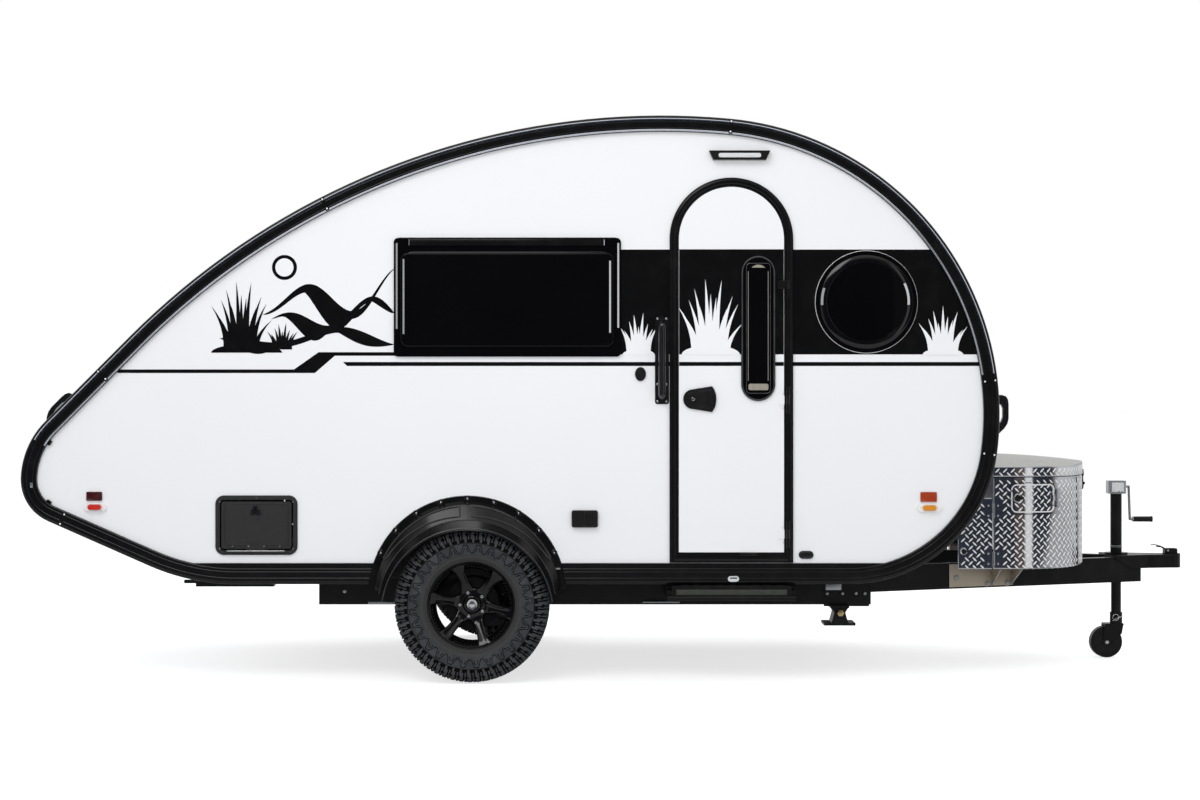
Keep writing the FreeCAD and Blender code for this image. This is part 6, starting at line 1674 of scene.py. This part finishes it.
def make_caster():
    bolt = Shape()
    ribs = Shape()
    for side in (RIGHT, LEFT):
        flat = (0, side, 0)
        face = side * 21.6
        bolt.lathe((CASTER_X, side * 33, CASTER_Z), flat, [(11.5, 0), (11.5, 5), (9, 7.6), (4, 8)], 6)
        for i in range(5):
            a = math.radians(54 + 72 * i)
            rib = [(CASTER_X + r * math.cos(a), face, CASTER_Z + r * math.sin(a)) for r in (20, 62)]
            ribs.tube(rib, 2.6, 8)
        centre = (CASTER_X, face, CASTER_Z)
        ribs.lathe(centre, flat, [(62, -1), (63, 2.4), (67, 2.4), (68, -1)], 48, loop=True)
        ribs.lathe(centre, flat, [(17, -1), (18, 3), (23, 3), (24, -1)], 32, loop=True)
    show("caster_bolt", bolt, BRIGHT, "caster_fork")
    show("caster_ribs", ribs, MOULDED, "caster_wheel")


COUPLER_X = 2776
COUPLER_TOP_Z = 524
COUPLER_FOOT_Z = 461
LATCH_X = 2752
LATCH_Z = 545
# Height and thickness of a bead, and its run of X and distance from the middle.
COUPLER_BEADS = ((COUPLER_TOP_Z, 2.6, ((2448, 132), (2640, 66), (COUPLER_X, 44))),
                 (COUPLER_FOOT_Z, 2.2, ((2556, 88), (2640, 60), (COUPLER_X, 40))))


def make_coupler():
    beads = Shape()
    for side in (RIGHT, LEFT):
        for z, radius, run in COUPLER_BEADS:
            beads.tube([(x, side * y, z) for x, y in run], radius, 8)
    beads.lathe((COUPLER_X, 0, COUPLER_FOOT_Z - 1), UP, [(43, 0), (44.2, 2), (44, 5), (42, 5)], 40, loop=True)
    beads.lathe((COUPLER_X, 0, COUPLER_TOP_Z), UP, [(42, 0), (44.2, 2.5), (42, 5), (40, 3)], 40, loop=True)
    show("coupler_edges", beads, CHASSIS)
    latch = Shape().box(2738, 2800, -18, 18, 530, 549, 4)
    latch.lathe((LATCH_X, -26, LATCH_Z), AXLE[1], [(9, 0), (10, 2), (10, 50), (9, 52)], 20)
    latch.tube([(2744, 0, 552), (2726, 0, 562), (2700, 0, 566)], 4.0, 8)
    show("coupler_latch", latch, CHASSIS)
    lever = Shape().tube([(2734, 0, 556), (2718, 0, 568), (2690, 0, 574), (2672, 0, 573)], 3.0, 10)
    lever.lathe((LATCH_X, -27.5, LATCH_Z), OUT_RIGHT, [(5, 0), (5, 2), (3, 3)], 12)
    show("coupler_lever", lever, BRIGHT)


# ---------------------------------------------------------------- chassis, step and steadies
STEP_FACE_Y = -1028.1
STEP_MAT_Y = -1030.5
STEP_PADS = 9


def make_chassis():
    front = Shape().tube([(176, STEP_MAT_Y, 396), (761, STEP_MAT_Y, 396)], 11.4, 20)
    show("step_front", front, GRIP, "entry_step")
    mat = Shape().box(214, 724, STEP_FACE_Y, STEP_MAT_Y, 411, 437, 0.8)
    pads = Shape()
    for i in range(STEP_PADS):
        x = 242 + 56.6 * i
        mat.box(x - 23, x + 23, -1030, -1032, 413, 435, 0.8)
        x = 253 + 54.4 * i
        pads.box(x - 11, x + 11, STEP_FACE_Y, -1030, 445, 450, 0.8)
        pads.box(x - 22, x + 22, -1004, -1026, 453.4, 456.6, 1.2)
    show("step_mat", mat, STEP_MAT, "entry_step")
    show("step_pads", pads, MOULDED, "entry_step")

    plates = Shape()
    sockets = Shape()
    nuts = Shape()
    studs = []
    for side in (RIGHT, LEFT):
        flat = (0, side, 0)
        plates.box(934, 1008, side * 734, side * 736.5, 408, 437, 0.8)
        sockets.disc((995, side * 818, 307), flat, 17, 9, 3, 6)
        studs += [((x, side * 736, 392), flat) for x in (941, 1014, 1078, 1120)]
        nuts.lathe((-2015, side * 700, 446), (1, 0, 0), [(12, 0), (16, 3), (16, 24), (12, 27)], 6)
    show("jack_plates", plates, ZINC)
    bright = Shape().disc((-1352, -730, 402), OUT_RIGHT, 9, 6, 2, 16)
    bright.box(-1240, -1105, -731, -734, 342, 352, 0.6)
    bright.tube([(64, -742, 352), (240, -742, 352)], 5, 10)
    show("frame_bolts", bright, ZINC)
    show("jack_sockets", sockets, BRASS)
    heads("frame_studs", studs, ZINC, "trailer", 8, 6)
    show("steady_nuts", nuts, BRASS)


# ---------------------------------------------------------------- light, floor and camera
CAMERA_SPOT = (-0.1385, -10.68, 1.311)
LAMPS = [("key", (-2.5, -6.5, 6.5), (0, 0, 1.2), (5.0, 3.0), 190),
         ("fill", (0.6, -9.5, 2.0), (0, 0, 1.1), (6.0, 3.0), 190),
         ("back", (0.5, 6.0, 5.5), (0, 0, 1.0), (6.0, 3.0), 160)]
LENS_LENGTH = 62.79
# Each of these two holds where a smooth step starts and ends along the way looked, and the light at both.
BACKDROP = (-0.34, -0.04, 0.055, 0.80)
OVERHEAD = (0.45, 0.75, 0.0, 0.85)
# Bearing of a panel's middle, half its width and its light.
SOFT_PANELS = ((0.57, 0.13, 0.95), (0.34, 0.12, 0.13), (-0.62, 0.08, 0.6))
PANEL_EDGE = (0.62, 0.50)
REFLECTION_TINTS = [(0.06, (0.58, 0.70, 1.0)), (0.14, (1.0, 0.74, 0.60)), (0.35, (1, 1, 1))]
ROOM_LIGHT = ((0.98, 0.985, 1), 0.72)
FLOOR_GLOW = 0.68
FLOOR_COLOUR = (0.62, 0.625, 0.63)
FLOOR_FAR = 24.0
FLOOR_FRONT = -4.4


def make_lamps():
    for name, spot, aim, size, power in LAMPS:
        lamp = bpy.data.lights.new(name, "AREA")
        lamp.shape = "RECTANGLE"
        lamp.size, lamp.size_y = size
        lamp.energy = power
        obj = bpy.data.objects.new(name, lamp)
        obj.visible_glossy = name == "key"
        obj.location = spot
        obj.rotation_euler = (Vector(aim) - Vector(spot)).to_track_quat("-Z", "Y").to_euler()
        bpy.context.collection.objects.link(obj)


def make_studio():
    """White studio: level light all round, a dark side towards the lens, and tall soft panels beside it."""
    world = bpy.data.worlds.new("studio")
    bpy.context.scene.world = world
    world.use_nodes = True
    room = Graph(world.node_tree)
    x, y, z = room.axes(room.node("ShaderNodeTexCoord", {}, {}, "Generated"))
    bearing = room.math("ARCTAN2", x, y * -1.0)
    panel_height = abs(z).clear(*PANEL_EDGE)
    level = y.clear(*BACKDROP).at_least(z.clear(*OVERHEAD))
    for middle, half, power in SOFT_PANELS:
        level = level.at_least(abs(bearing - middle).clear(half, half * 0.55, 0.0, power) * panel_height)
    ray = {name: room.node("ShaderNodeLightPath", {}, {}, "Is " + name + " Ray")
           for name in ("Camera", "Glossy", "Transmission")}
    lit = room.node("ShaderNodeBackground", {}, dict(enumerate(ROOM_LIGHT)))
    mirrored = room.node("ShaderNodeBackground", {}, {0: room.ramp(level, REFLECTION_TINTS), 1: level})
    seen = room.node("ShaderNodeBackground", {}, {0: (1, 1, 1)})
    first = room.node("ShaderNodeMixShader", {}, {0: ray["Glossy"], 1: lit, 2: mirrored})
    clear = ray["Camera"].at_least(ray["Transmission"])
    second = room.node("ShaderNodeMixShader", {}, {0: clear, 1: first, 2: seen})
    room.node("ShaderNodeOutputWorld", {}, {0: second})


def make_floor():
    mesh = bpy.data.meshes.new("floor")
    corners = [(-FLOOR_FAR, FLOOR_FRONT, 0), (FLOOR_FAR, FLOOR_FRONT, 0), (FLOOR_FAR, FLOOR_FAR, 0),
               (-FLOOR_FAR, FLOOR_FAR, 0)]
    mesh.from_pydata(corners, [], [(0, 1, 2, 3)])
    floor = bpy.data.objects.new("floor", mesh)
    bpy.context.collection.objects.link(floor)
    coat = bpy.data.materials.new("pale_floor")
    coat.use_nodes = True
    graph = Graph(coat.node_tree)
    matt = graph.node("ShaderNodeBsdfDiffuse", {}, {0: FLOOR_COLOUR})
    seen = graph.node("ShaderNodeLightPath", {}, {}, "Is Camera Ray")
    glow = graph.node("ShaderNodeEmission", {}, {1: seen * FLOOR_GLOW})
    both = graph.node("ShaderNodeAddShader", {}, {0: matt, 1: glow})
    graph.node("ShaderNodeOutputMaterial", {}, {0: both})
    mesh.materials.append(coat)


def make_camera():
    lens_data = bpy.data.cameras.new("camera")
    lens_data.lens = LENS_LENGTH
    lens_data.sensor_width = 36.0
    camera = bpy.data.objects.new("camera", lens_data)
    camera.location = CAMERA_SPOT
    camera.rotation_euler = (math.pi / 2, 0, 0)
    bpy.context.collection.objects.link(camera)
    bpy.context.scene.camera = camera


make_livery()
make_trim()
make_window_trim()
make_shell_details()
make_door()
make_side_fittings()
make_hatches()
for wheel_side, wheel_word in SIDES:
    make_tyre(wheel_side, wheel_word)
    make_rim(wheel_side, wheel_word)
    make_fender(wheel_side, wheel_word)
make_tread_plate()
make_tub()
make_lid()
make_small_hatch()
make_wings()
make_latch()
make_brackets()
make_jack()
make_caster()
make_coupler()
make_chassis()
make_studio()
make_lamps()
make_floor()
make_camera()
bpy.context.scene.view_settings.view_transform = "Standard"
